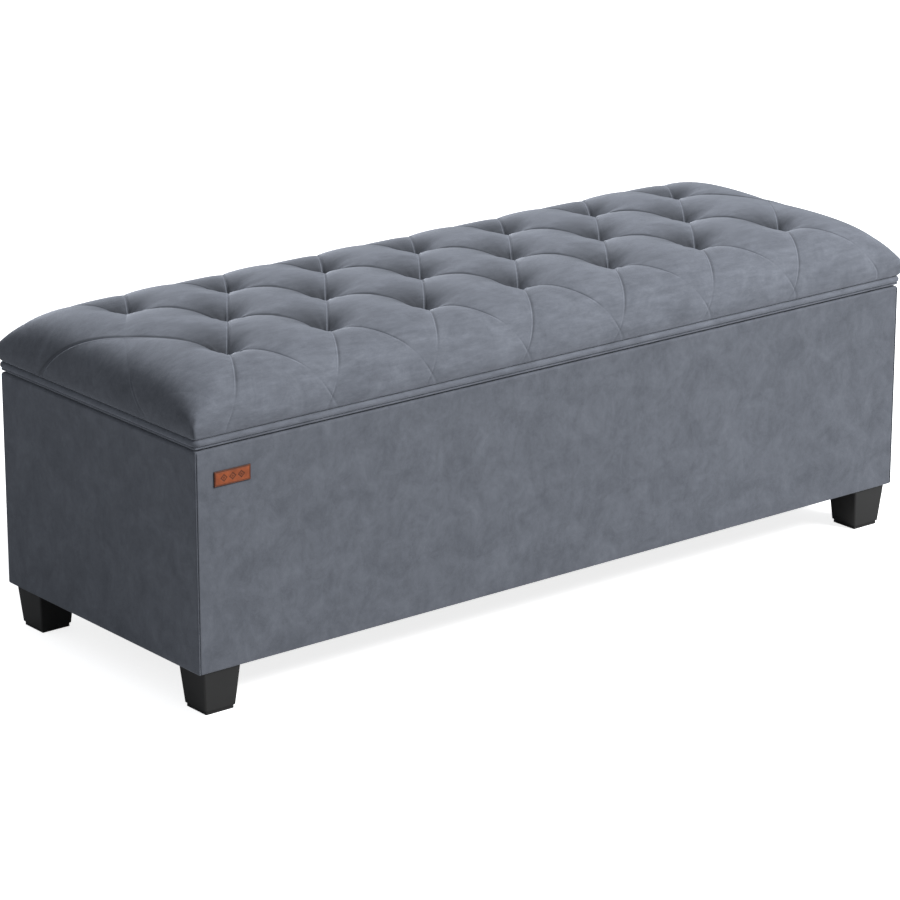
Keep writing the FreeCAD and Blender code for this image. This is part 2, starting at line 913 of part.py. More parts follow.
def strut_rod(end, sign):
    """The rod, from its eye on the lid down to the piston inside the tube."""
    name = f"strut_{end}_rod"
    body = new_body(name)
    outline = new_sketch(body, f"{name}_outline", "XZ_Plane")
    polygon(
        outline,
        [
            ("0", "-rod_reach"),
            ("piston_radius", "-rod_reach"),
            ("piston_radius", "-(rod_reach - piston_length)"),
            ("rod_radius", "-(rod_reach - piston_length)"),
            ("rod_radius", "-tube_start"),
            ("strut_neck", "-tube_start"),
            ("strut_neck", "-strut_neck"),
            ("0", "-strut_neck"),
        ],
    )
    revolve(body, outline)
    strut_eye(body, name)
    lean(body, f"{sign} * strut_place", LID_PIVOT_Y, LID_PIVOT_Z)
    keep(body, name)


def pivot_stud(name, seat):
    """A collar, a stud and its head, along +X through the origin; the seat is behind it."""
    near = "(strut_eye_width / 2 + pivot_side_play)"
    collar = round_bar(
        f"{name}_collar",
        "collar_radius",
        f"{seat} - {near}",
        (f"-({seat})", 0, 0),
        TURN["+x"],
    )
    stud = round_bar(
        f"{name}_stud",
        "pivot_radius",
        f"{seat} + {near}",
        (f"-({seat})", 0, 0),
        TURN["+x"],
    )
    head = round_bar(
        f"{name}_head",
        "pivot_head",
        "pivot_head_height",
        (near, 0, 0),
        TURN["+x"],
    )
    return [collar, stud, head]


def facing(sign):
    """Faces +X into the bench: the right end's bracket is turned round."""
    return UP if sign < 0 else Rotation(Vector(0, 0, 1), 180)


def box_bracket_form():
    """A plate on the end wall, with the strut's lower pivot riveted to it."""
    seat = f"({LINED_X} - strut_place)"
    plate = block(
        "box_bracket_plate",
        "plate_gauge",
        "plate_width",
        "plate_height",
        (f"-{seat}", "-plate_width / 2", "-plate_height / 2"),
    )
    return fused("box_bracket_form", plate, *pivot_stud("box_bracket", seat))


def lid_bracket_form():
    """An angle under the lid, with the strut's upper pivot riveted to its tab."""
    seat = "(strut_eye_width / 2 + collar_radius)"
    lift = f"({LID_BASE} - {LID_PIVOT_Z})"
    tab = block(
        "lid_bracket_tab",
        "plate_gauge",
        "tab_width",
        f"{lift} + tab_drop",
        (f"-{seat}", "-tab_width / 2", "-tab_drop"),
    )
    flange = block(
        "lid_bracket_flange",
        "flange_length",
        "plate_width",
        "plate_gauge",
        (f"-{seat}", "-plate_width / 2", f"{lift} - plate_gauge"),
    )
    return fused("lid_bracket_form", tab, flange, *pivot_stud("lid_bracket", seat))


def struts(plate_screws, flange_screws):
    box_form = box_bracket_form()
    lid_form = lid_bracket_form()
    for end, sign in ENDS.items():
        strut_cylinder(end, sign)
        strut_rod(end, sign)
        x = f"{sign} * strut_place"
        name = f"strut_{end}_box_bracket"
        spot = (x, BOX_PIVOT_Y, BOX_PIVOT_Z, facing(sign))
        keep(cut(name, copies(f"{name}_blank", box_form, [spot]), plate_screws), name)
        name = f"strut_{end}_lid_bracket"
        spot = (x, LID_PIVOT_Y, LID_PIVOT_Z, facing(sign))
        keep(cut(name, copies(f"{name}_blank", lid_form, [spot]), flange_screws), name)


# ---------------------------------------------------------------- the lid


def tuft_spots():
    """Where the tufts are, in pitches along X and rows along Y: seven, six and seven."""
    spots = []
    for row, count in ((-1, 7), (0, 6), (1, 7)):
        for k in range(count):
            spots.append((k - (count - 1) / 2, row))
    return spots


def tuft_circles(sketch, radius, mirrored=False):
    flip = -1 if mirrored else 1
    for along, row in tuft_spots():
        circle(sketch, f"{along} * tuft_pitch", f"{flip * row} * tuft_row", radius)


def lid_panel(leaves, *screws):
    """The lid board, bored for the ties and counterbored for their toggles."""
    body = new_body("lid_panel_form")
    outline = new_sketch(body, "lid_panel_outline", "XY_Plane", LID_PANEL_BASE)
    centred(outline, LID_X, LID_Y)
    pad(body, outline, "lid_board")
    bores = new_sketch(body, "lid_panel_bores", "XY_Plane", LID_PANEL_TOP)
    tuft_circles(bores, "tie_hole")
    pocket(body, bores)
    sinks = new_sketch(body, "lid_panel_sinks", "XY_Plane", f"{LID_PANEL_BASE} + toggle_sink")
    tuft_circles(sinks, "toggle_radius + tie_radius")
    pocket(body, sinks, "toggle_sink")
    keep(cut("lid_panel", body, *leaves, *screws), "lid_panel")


def lid_lining(notches, flange_screws):
    blank = block(
        "lid_lining_blank",
        f"2 * ({END} - hem)",
        f"2 * ({SIDE} - hem)",
        "liner",
        (f"-({END} - hem)", f"-({SIDE} - hem)", LID_BASE),
    )
    keep(cut("lid_lining", blank, notches, flange_screws), "lid_lining")


def lid_band(notches):
    """The velvet that wraps the lid board's edge and turns in under it."""
    body = new_body("lid_band_form")
    under = new_sketch(body, "lid_band_under", "XY_Plane", LID_BASE)
    centred(under, END, SIDE)
    centred(under, f"({END} - hem)", f"({SIDE} - hem)")
    pad(body, under, "liner")
    edge = new_sketch(body, "lid_band_edge", "XY_Plane", LID_PANEL_BASE)
    centred(edge, END, SIDE)
    centred(edge, LID_X, LID_Y)
    pad(body, edge, "lip - liner")
    keep(cut("lid_band", body, notches), "lid_band")


def lid_welt():
    """The piped welt between the wrapped edge and the cushion."""
    body = new_body("lid_welt")
    outline = new_sketch(body, "lid_welt_outline", "XY_Plane", WELT_BASE)
    outer = "welt_reach"
    inner = "(2 * welt_radius - welt_reach)"
    centred(outline, f"({END} + {outer})", f"({SIDE} + {outer})")
    centred(outline, f"({END} - {inner})", f"({SIDE} - {inner})")
    ring = pad(body, outline, "2 * welt_radius")
    round_edges(body, ring, "welt_radius - welt_reach / 6", lambda b: not upright(b))
    keep(body, "lid_welt")


def cushion_form(name, skin, base, mouth):
    """A crowned block with a tapered pit at each tuft, set inside the cushion by a skin."""
    body = new_body(name)
    half_x = f"(crown_length / 2 - {skin})"
    half_y = f"(crown_depth / 2 - {skin})"
    top = f"(crown_top - {skin})"
    outline = new_sketch(body, f"{name}_outline", "XY_Plane", base)
    centred(outline, half_x, half_y)
    lump = pad(body, outline, f"{top} - {base}")
    level = number(top)
    low = number(base)
    crown = round_edges(
        body,
        lump,
        f"crown_radius - {skin}",
        lambda b: not upright(b) and abs(b.ZMin - level) < 0.01,
    )
    round_edges(
        body,
        crown,
        f"crown_tuck - {skin}",
        lambda b: not upright(b) and abs(b.ZMax - low) < 0.01,
    )
    pits = new_sketch(body, f"{name}_pits", "XY_Plane", top)
    tuft_circles(pits, mouth)
    pocket(body, pits, "tuft_depth", slope="-tuft_slope")
    return body


def lid_cushion():
    """The foam, the velvet cover over it, and the ties that pull the tufts down."""
    crown = cushion_form("crown_form", "0", CROWN_BASE, "tuft_mouth")
    foam_form = cushion_form(
        "foam_form",
        "fabric",
        LID_PANEL_TOP,
        "tuft_mouth + 1.5 * fabric",
    )
    toggle_level = f"({LID_PANEL_BASE} + toggle_sink)"
    tie = round_bar(
        "tie_form",
        "tie_radius",
        f"crown_top - fabric - tuft_depth - {toggle_level}",
        (0, 0, toggle_level),
    )
    toggle = round_bar(
        "toggle_form",
        "toggle_radius",
        "toggle_height",
        (0, 0, f"{toggle_level} - toggle_height"),
    )
    spots = [(f"{x} * tuft_pitch", f"{y} * tuft_row", 0, UP) for x, y in tuft_spots()]
    ties = keep(copies("tuft_ties", tie, spots), "tuft_ties")
    keep(copies("tuft_toggles", toggle, spots), "tuft_toggles")
    keep(cut("lid_foam", foam_form, ties), "lid_foam")
    board_room = block(
        "board_room",
        f"2 * {LID_X}",
        f"2 * {LID_Y}",
        "lid_board",
        (f"-{LID_X}", f"-{LID_Y}", LID_PANEL_BASE),
    )
    keep(cut("lid_cover", crown, foam_form, board_room), "lid_cover")


def lid_bumpers():
    form = round_bar("bumper_form", "bumper_radius", "bumper_height")
    across = f"({SIDE} - bumper_inset)"
    spots = corner_spots("bumper_place", across, f"{LID_BASE} - bumper_height")
    keep(copies("lid_bumpers", form, spots.values()), "lid_bumpers")


# ---------------------------------------------------------------- the whole bench


def build():
    screw = screw_form(
        "screw",
        "screw_radius",
        "screw_length",
        "screw_head",
        "screw_head_height",
    )
    long_screws = carcass_screws()
    wall_screws = bracket_screws(screw)
    box_leaf_screws = hinge_box_screws(screw)
    lid_leaf_screws = hinge_lid_screws(screw)
    plate_screws = strut_box_screws(screw)
    flange_screws = strut_lid_screws(screw)

    studs, inserts = feet()
    corner_blocks(studs, inserts)
    corner_brackets(wall_screws)
    box_leaves, lid_leaves = hinges(box_leaf_screws, lid_leaf_screws)
    panels(studs, long_screws, wall_screws, box_leaf_screws, plate_screws, box_leaves)
    covers(studs, box_notches())
    liners(studs, wall_screws, plate_screws)
    leather_tag()
    struts(plate_screws, flange_screws)

    lid_panel(lid_leaves, lid_leaf_screws, flange_screws)
    cut_outs = lid_notches()
    lid_lining(cut_outs, flange_screws)
    lid_band(cut_outs)
    lid_welt()
    lid_cushion()
    lid_bumpers()


def check():
    """Stops before anything is written if an object failed or a piece isn't a valid solid."""
    for thing in doc.Objects:
        if {"Invalid", "Error"} & set(thing.State):
            raise RuntimeError(f"{thing.Name} failed: {thing.State}")
    for piece in parts:
        shape = piece.Shape
        if shape.isNull() or not shape.isValid() or not shape.Solids:
            raise RuntimeError(f"{piece.Label} has no valid solid")


build()
doc.recompute()
check()
os.makedirs("parts", exist_ok=True)
for part in parts:
    part.Shape.exportStep(f"parts/{part.Label}.step")
    print(part.Label, len(part.Shape.Solids), "solids")
print(len(parts), "nodes")
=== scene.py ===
"""The looks of a tufted storage bench, built around its CAD frame."""

import math
from itertools import product

import bmesh
import bpy
import numpy as np
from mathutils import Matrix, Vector, noise


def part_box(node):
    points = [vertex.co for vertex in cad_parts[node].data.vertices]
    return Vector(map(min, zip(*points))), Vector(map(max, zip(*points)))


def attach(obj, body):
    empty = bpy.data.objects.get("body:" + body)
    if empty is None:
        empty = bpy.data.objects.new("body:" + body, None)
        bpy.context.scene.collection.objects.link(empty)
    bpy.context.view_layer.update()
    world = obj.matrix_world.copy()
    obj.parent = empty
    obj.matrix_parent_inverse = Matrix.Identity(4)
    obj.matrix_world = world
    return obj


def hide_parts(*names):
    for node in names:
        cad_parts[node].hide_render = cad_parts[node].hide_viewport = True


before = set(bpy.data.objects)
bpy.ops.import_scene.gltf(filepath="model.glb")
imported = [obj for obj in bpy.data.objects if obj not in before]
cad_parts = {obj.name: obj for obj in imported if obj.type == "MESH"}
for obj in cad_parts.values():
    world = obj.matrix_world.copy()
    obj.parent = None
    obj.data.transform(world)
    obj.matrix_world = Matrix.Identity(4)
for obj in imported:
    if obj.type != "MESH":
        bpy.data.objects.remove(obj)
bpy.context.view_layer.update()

MM = 0.001
SEED = 11


# --- sizes taken from the frame ---

COVER_LOW, COVER_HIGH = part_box("lid_cover")
CUSHION_X = COVER_HIGH.x
CUSHION_Y = COVER_HIGH.y
CUSHION_BASE = COVER_LOW.z
WELT_LOW, WELT_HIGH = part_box("lid_welt")
BOARD_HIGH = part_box("lid_panel")[1]
BODY_LOW, BODY_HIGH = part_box("front_cover")
BODY_X = BODY_HIGH.x
BODY_Y = -BODY_LOW.y

# Cloth is cut out round the hinge leaves with a little room to spare.
LEAF_LOW, LEAF_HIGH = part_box("hinge_right_lid_leaf")
LEAF_GAP = 0.5 * MM

# Two outer rows of tufts, and a middle row of one tuft fewer, half a pitch along.
TUFTS_PER_ROW = 7
HALF_ROW = (TUFTS_PER_ROW - 1) / 2
TIE_RADIUS = 1 * MM
TIES_LOW, TIES_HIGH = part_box("tuft_ties")
TUFT_PITCH = (TIES_HIGH.x - TIE_RADIUS) / HALF_ROW
TUFT_ROW = TIES_HIGH.y - TIE_RADIUS

# The cushion is widest a little above its seam, and its top is a shallow dome.
WIDEST = CUSHION_BASE + 16 * MM
DOME_RISE = 58 * MM
DOME_POWER_X = 16
DOME_POWER_Y = 5
CORNER_ROUND = 20 * MM
SEAM_CORNER_ROUND = 4 * MM

# Past the outer rows one step of the creases is SIDE_RUN of cloth. Past LAST_COLUMN they turn
# down the ends, and cover END_REACH more steps at most.
SIDE_RUN = 129 * MM
LAST_COLUMN = 3.5
END_RATE = 1.2
END_REACH = 1.0

# Cells of the mesh from one crease to the next, and how much they crowd beside a crease.
CREASE_CELLS = 36
CREASE_GRADING = 0.86


# --- small helpers ---


def link(name, data):
    thing = bpy.data.objects.new(name, data)
    bpy.context.scene.collection.objects.link(thing)
    return thing


def mesh_object(name, vertices, faces, smooth=True):
    mesh = bpy.data.meshes.new(name)
    mesh.from_pydata([tuple(v) for v in vertices], [], faces)
    mesh.validate()
    mesh.polygons.foreach_set("use_smooth", [smooth] * len(mesh.polygons))
    return link(name, mesh)


def sleeve(first, rings, size):
    """Faces of a sleeve of rings, closed at both ends. first is the number of its first point."""
    faces = []
    for ring in range(rings - 1):
        for k in range(size):
            a = first + ring * size + k
            b = first + ring * size + (k + 1) % size
            faces.append((a, b, b + size, a + size))
    faces.append(tuple(first + k for k in range(size))[::-1])
    faces.append(tuple(first + (rings - 1) * size + k for k in range(size)))
    return faces


def point_attribute(piece, name, values):
    layer = piece.data.attributes.new(name, "FLOAT", "POINT")
    layer.data.foreach_set("value", np.asarray(values, np.float32))


def paint(piece, material):
    piece.data.materials.clear()
    piece.data.materials.append(material)


def smooth_step(low, high, value):
    share = np.clip((value - low) / (high - low), 0, 1)
    return share * share * (3 - 2 * share)


def bell(value, width, power=2):
    """1 where the value is 0, and fading away from it over about the width."""
    return np.exp(-((value / width) ** power))


def ripple(points, wavelength, amplitude, octave_seed):
    """Gentle unevenness of cloth, the same at every run."""
    shift = Vector((octave_seed * 3.1, octave_seed * 1.7, octave_seed * 0.9))
    return amplitude * np.array([noise.noise(Vector(p) / wavelength + shift) for p in points])


# --- node materials ---

# Most of a noise texture's values lie between these two.
NOISE_LOW = 0.3
NOISE_HIGH = 0.7


class Shader:
    """A node material with a Principled surface, and short ways to add nodes to it."""

    def __init__(self, name):
        self.material = bpy.data.materials.new(name)
        self.material.use_nodes = True
        self.tree = self.material.node_tree
        self.surface = self.tree.nodes["Principled BSDF"]
        self.place = self.tree.nodes.new("ShaderNodeTexCoord").outputs["Object"]

    def set(self, **values):
        for key, value in values.items():
            self.surface.inputs[key.replace("_", " ")].default_value = value

    def join(self, source, target):
        self.tree.links.new(source, target)

    def stretched(self, scale, turn=(0, 0, 0)):
        node = self.tree.nodes.new("ShaderNodeMapping")
        node.inputs["Scale"].default_value = scale
        node.inputs["Rotation"].default_value = turn
        self.join(self.place, node.inputs["Vector"])
        return node.outputs["Vector"]

    def noise(self, scale, detail=4, rough=0.55, place=None, distortion=0):
        node = self.tree.nodes.new("ShaderNodeTexNoise")
        node.inputs["Scale"].default_value = scale
        node.inputs["Detail"].default_value = detail
        node.inputs["Roughness"].default_value = rough
        node.inputs["Distortion"].default_value = distortion
        self.join(place or self.place, node.inputs["Vector"])
        return node.outputs["Fac"]

    def cells(self, scale, place=None):
        node = self.tree.nodes.new("ShaderNodeTexVoronoi")
        node.inputs["Scale"].default_value = scale
        self.join(place or self.place, node.inputs["Vector"])
        return node.outputs["Distance"]

    def ramp(self, source, stops):
        node = self.tree.nodes.new("ShaderNodeValToRGB")
        band = node.color_ramp
        for mark, (position, colour) in zip(band.elements, (stops[0], stops[-1])):
            mark.position = position
            mark.color = (*colour, 1)
        for position, colour in stops[1:-1]:
            band.elements.new(position).color = (*colour, 1)
        self.join(source, node.inputs["Fac"])
        return node.outputs["Color"]

    def two_tone(self, source, dark, light):
        return self.ramp(source, [(NOISE_LOW, dark), (NOISE_HIGH, light)])

    def shaded(self, colour, source, *stops):
        """The colour times greys, which are set along the source as (position, grey) stops."""
        node = self.tree.nodes.new("ShaderNodeMix")
        node.data_type = "RGBA"
        node.blend_type = "MULTIPLY"
        node.inputs[0].default_value = 1.0
        first, second = [i for i in node.inputs if i.name in ("A", "B") and i.type == "RGBA"]
        self.join(colour, first)
        self.join(self.ramp(source, [(position, grey(tone)) for position, tone in stops]), second)
        return [o for o in node.outputs if o.type == "RGBA"][0]

    def range(self, source, new_low, new_high, low=NOISE_LOW, high=NOISE_HIGH):
        node = self.tree.nodes.new("ShaderNodeMapRange")
        for socket, value in zip(list(node.inputs)[1:5], (low, high, new_low, new_high)):
            socket.default_value = value
        self.join(source, node.inputs[0])
        return node.outputs[0]

    def attribute(self, name):
        node = self.tree.nodes.new("ShaderNodeAttribute")
        node.attribute_name = name
        return node.outputs["Fac"]

    def bump(self, height, distance, strength, under=None):
        node = self.tree.nodes.new("ShaderNodeBump")
        node.inputs["Strength"].default_value = strength
        node.inputs["Distance"].default_value = distance
        self.join(height, node.inputs["Height"])
        if under is not None:
            self.join(under, node.inputs["Normal"])
        return node.outputs["Normal"]

    def finish(self, colour, rough=None, normal=None):
        for source, name in ((colour, "Base Color"), (rough, "Roughness"), (normal, "Normal")):
            if source is not None:
                self.join(source, self.surface.inputs[name])
        return self.material


def grey(value):
    return (value, value, value)


VELVET_SHADES = ((0.091, 0.099, 0.117), (0.110, 0.119, 0.140), (0.131, 0.142, 0.166))


def velvet(name, tone, patch_scale, streak_scale, streak_depth):
    """Short-pile velvet, mottled and streaked, with painted shade in folds and pits and painted
    highlights along crease ridges and rims.
    """
    shader = Shader(name)
    patches = shader.noise(patch_scale, 8, 0.75, distortion=0.6)
    # tone brightens or darkens the whole colour. The lid's copy is painted lighter and the box's
    # darker, standing in for light and shade.
    shades = [[tone * part for part in shade] for shade in VELVET_SHADES]
    colour = shader.ramp(patches, list(zip((0.32, 0.5, 0.68), shades)))
    streaks = shader.noise(1, 8, 0.8, place=shader.stretched(streak_scale))
    colour = shader.shaded(colour, streaks, (0.36, 1 - streak_depth), (0.64, 1 + streak_depth))
    fuzz = shader.noise(1400, 2, 0.5)
    colour = shader.shaded(colour, fuzz, (NOISE_LOW, 0.93), (NOISE_HIGH, 1.06))
    # Painted shade, from the mesh's attribute: down to 0.18 of the colour in folds, pits and seams.
    colour = shader.shaded(colour, shader.attribute("shade_and_stamp"), (0.0, 1.0), (1.0, 0.18))
    # Painted highlight, from the mesh's attribute: up to 1.45 times the colour along crease ridges
    # and rims.
    colour = shader.shaded(colour, shader.attribute("painted_highlight"), (0.0, 1.0), (1.0, 1.45))
    pile = shader.bump(fuzz, 0.35 * MM, 0.5)
    soft = shader.bump(streaks, 0.8 * MM, 0.25, under=pile)
    rough = shader.range(patches, 0.92, 0.8)
    shader.set(Sheen_Weight=0.55, Sheen_Roughness=0.4, Sheen_Tint=(0.80, 0.85, 0.96, 1))
    shader.set(Specular_IOR_Level=0.15)
    return shader.finish(colour, rough, soft)


# --- the tufted cushion ---


class Profile:
    """Half of the dome's outline, measured along the cloth from the middle to the widest line."""

    def __init__(self, half, power, samples=4001):
        turn = np.linspace(0, math.pi / 2, samples)
        reach = np.concatenate([half * np.sin(turn) ** (2 / power), np.linspace(0, half, samples)])
        self.reach = np.unique(reach)
        self.height = np.sqrt(np.clip(1 - (self.reach / half) ** power, 0, None))
        steps = np.hypot(np.diff(self.reach), DOME_RISE * np.diff(self.height))
        self.along = np.concatenate([[0], np.cumsum(steps)])
        self.length = self.along[-1]

    def run_to(self, reach):
        return float(np.interp(reach, self.reach, self.along))

    def spot(self, run):
        """Distance from the middle, and share of the dome's rise, at a run along the cloth."""
        reach = np.interp(np.abs(run), self.along, self.reach)
        return np.sign(run) * reach, np.interp(np.abs(run), self.along, self.height)


ACROSS = Profile(CUSHION_X, DOME_POWER_X)
DEEP = Profile(CUSHION_Y, DOME_POWER_Y)

# Places on the cloth are (s, t), along and across it from the middle of the top.
CLOTH_END = ACROSS.length
CLOTH_SIDE = DEEP.length
PITCH = ACROSS.run_to(TUFT_PITCH * HALF_ROW) / HALF_ROW
ROW = DEEP.run_to(TUFT_ROW)


def to_diamonds(s, t):
    """Lattice coordinates whose whole numbers are the two families of slanting creases."""
    size = np.abs(t)
    rows = np.sign(t) * np.where(size <= ROW, size / ROW, 1 + (size - ROW) / SIDE_RUN)
    size = np.abs(s) / PITCH
    over = np.clip(size - LAST_COLUMN, 0, None)
    turned = END_REACH * (1 - np.exp(-END_RATE * over / END_REACH))
    columns = np.sign(s) * np.where(over > 0, LAST_COLUMN + turned, size)
    return columns + rows / 2 + 0.5, columns - rows / 2 + 0.5


def from_diamonds(p, q):
    rows = p - q
    size = np.abs(rows)
    t = np.sign(rows) * np.where(size <= 1, size * ROW, ROW + (size - 1) * SIDE_RUN)
    columns = (p + q - 1) / 2
    size = np.abs(columns)
    turned = np.clip(size - LAST_COLUMN, 0, 0.95 * END_REACH)
    over = -np.log(1 - turned / END_REACH) * END_REACH / END_RATE
    s = PITCH * np.where(turned > 0, LAST_COLUMN + over, size)
    return np.sign(columns) * s, t


def tufts():
    """The tufts' places on the cloth."""
    outer = [(PITCH * (k - HALF_ROW), side * ROW) for side in (-1, 1) for k in range(TUFTS_PER_ROW)]
    inner = [(PITCH * (k - HALF_ROW + 0.5), 0.0) for k in range(TUFTS_PER_ROW - 1)]
    return np.array(outer + inner)


def graded_lines(reach):
    """Crease coordinates, close together beside each crease and further apart between creases."""
    steps = np.arange(-reach * CREASE_CELLS, (reach + 1) * CREASE_CELLS + 1) / CREASE_CELLS
    whole = np.floor(steps)
    part = steps - whole
    return whole + part - CREASE_GRADING / (2 * math.pi) * np.sin(2 * math.pi * part)


def cut_cloth():
    """The flat cut of the cushion's top, as a bmesh with its edges along the creases."""
    lines = graded_lines(reach=5)
    p, q = np.meshgrid(lines, lines, indexing="ij")
    s, t = from_diamonds(p, q)
    margin = 8 * MM
    inside = (np.abs(s) < CLOTH_END + margin) & (np.abs(t) < CLOTH_SIDE + margin)
    cell = inside[:-1, :-1] | inside[1:, :-1] | inside[:-1, 1:] | inside[1:, 1:]
    rows, columns = np.nonzero(cell)
    width = len(lines)
    corner = rows * width + columns
    quads = np.stack([corner, corner + 1, corner + width + 1, corner + width], 1)
    used, index = np.unique(quads, return_inverse=True)
    flat = np.stack([s.ravel()[used], t.ravel()[used], np.zeros(len(used))], 1)
    mesh = bpy.data.meshes.new("cloth_cut")
    mesh.from_pydata(flat.tolist(), [], index.reshape(quads.shape).tolist())
    cloth = bmesh.new()
    cloth.from_mesh(mesh)
    bpy.data.meshes.remove(mesh)
    for facing in (Vector((-1, 0, 0)), Vector((1, 0, 0)), Vector((0, -1, 0)), Vector((0, 1, 0))):
        where = (facing.x * CLOTH_END, facing.y * CLOTH_SIDE, 0)
        everything = cloth.verts[:] + cloth.edges[:] + cloth.faces[:]
        bmesh.ops.bisect_plane(
            cloth, geom=everything, dist=1e-7, plane_co=where, plane_no=facing, clear_outer=True
        )
    bmesh.ops.remove_doubles(cloth, verts=cloth.verts[:], dist=0.12 * MM)
    return cloth


def edge_loop(cloth):
    """The cloth's boundary vertices, in order."""
    following = {}
    for edge in cloth.edges:
        if edge.is_boundary:
            loop = edge.link_loops[0]
            following[loop.vert] = loop.link_loop_next.vert
    first = next(iter(following))
    order = [first]
    while following[order[-1]] is not first:
        order.append(following[order[-1]])
    return order


def round_corners(x, y, radius):
    """Eases the four corners of the cushion's plan."""
    near_x = np.clip(1 - (CUSHION_X - np.abs(x)) / radius, 0, 1)
    near_y = np.clip(1 - (CUSHION_Y - np.abs(y)) / radius, 0, 1)
    in_x = near_x * (1 - np.sqrt(1 - near_y**2 / 2))
    in_y = near_y * (1 - np.sqrt(1 - near_x**2 / 2))
    return x - np.sign(x) * in_x * radius, y - np.sign(y) * in_y * radius


# Below its widest line the cushion tucks in to the seam, and turns under on to the lid board.
# Each ring is (millimetres in, millimetres down).
SKIRT = (
    (0.1, 2.5), (0.4, 5.0), (0.9, 7.5), (1.6, 10.0), (2.5, 12.2), (3.7, 14.0),
    (5.2, 15.4), (7.0, 16.0), (8.8, 15.8), (9.8, 14.6), (10.0, 13.4),
)

# Steps beyond, on a crease that has no tuft.
NO_TUFT = 9.0

# More creases than either family has, so that each has its own random reach.
CREASES = 40


def past_tufts(line, other, column_sign):
    """Steps along a crease beyond its outermost tuft. A crease without a tuft is far beyond."""
    low = np.full(len(line), np.inf)
    high = np.full(len(line), -np.inf)
    for row in (-1, 0, 1):
        node = line - row * column_sign
        column = (line + node - 1) / 2
        on_cloth = np.abs(column) <= HALF_ROW - (0.5 if row == 0 else 0) + 1e-6
        low = np.where(on_cloth, np.minimum(low, node), low)
        high = np.where(on_cloth, np.maximum(high, node), high)
    beyond = np.maximum(np.maximum(low - other, other - high), 0)
    return np.where(np.isfinite(low), beyond, NO_TUFT)


def shown_part(family, s, line, beyond, at_end, rng):
    """How much of a crease shows, from where it passes its outermost tuft to the seam."""
    shortest, longest = ((0.35, 0.55), (0.55, 0.90))[family]
    reach = rng.uniform(shortest, longest, CREASES)[(line + CREASES / 2).astype(int)]
    long_arc = (s < 0) == (family == 0)
    reach = np.where(at_end, np.where(long_arc, 4.0, 1.3 * (s > 0)), reach)
    shown = 1 - smooth_step(reach, reach + 0.3, beyond)
    at_welt = 0.5 * smooth_step(0.8, 1.0, beyond) * (1 - smooth_step(1.4, 1.7, beyond))
    down_end = 0.8 * smooth_step(1.62, 1.72, beyond) * (beyond < 5) * ~long_arc
    return np.maximum(shown, np.where(at_end, down_end, at_welt))


def gathers(around, nearest, which, rng):
    """Small gathers of the cloth that run out from each tuft."""
    window = smooth_step(5 * MM, 14 * MM, nearest) * bell(nearest, 30 * MM)
    total = np.zeros(len(nearest))
    for count in (5, 7, 9, 12, 16):
        turn = rng.uniform(0, 2 * math.pi, len(TUFTS))[which]
        total += rng.uniform(0.2, 0.6, len(TUFTS))[which] * np.cos(count * around + turn)
    return 0.7 * MM * window * total


# The padding stands up between the creases and sinks to a pit at each tuft. A pit is longer
# behind its tuft, where its painted shadow lies, than before it.
TUFTS = tufts()
PLUMP_RUN = 15 * MM
PLUMP_RISE = 5.0 * MM
PLUMP_SINK = 3.0 * MM
OUTER_PIT_DEPTH = 23 * MM
INNER_PIT_DEPTH = 20 * MM
PIT_WIDTH = 20 * MM
STRETCH_BEHIND = 1.35
STRETCH_BEFORE = 0.9
SHADOW_WIDTH = 36 * MM
SHADOW_SHIFT = 8 * MM


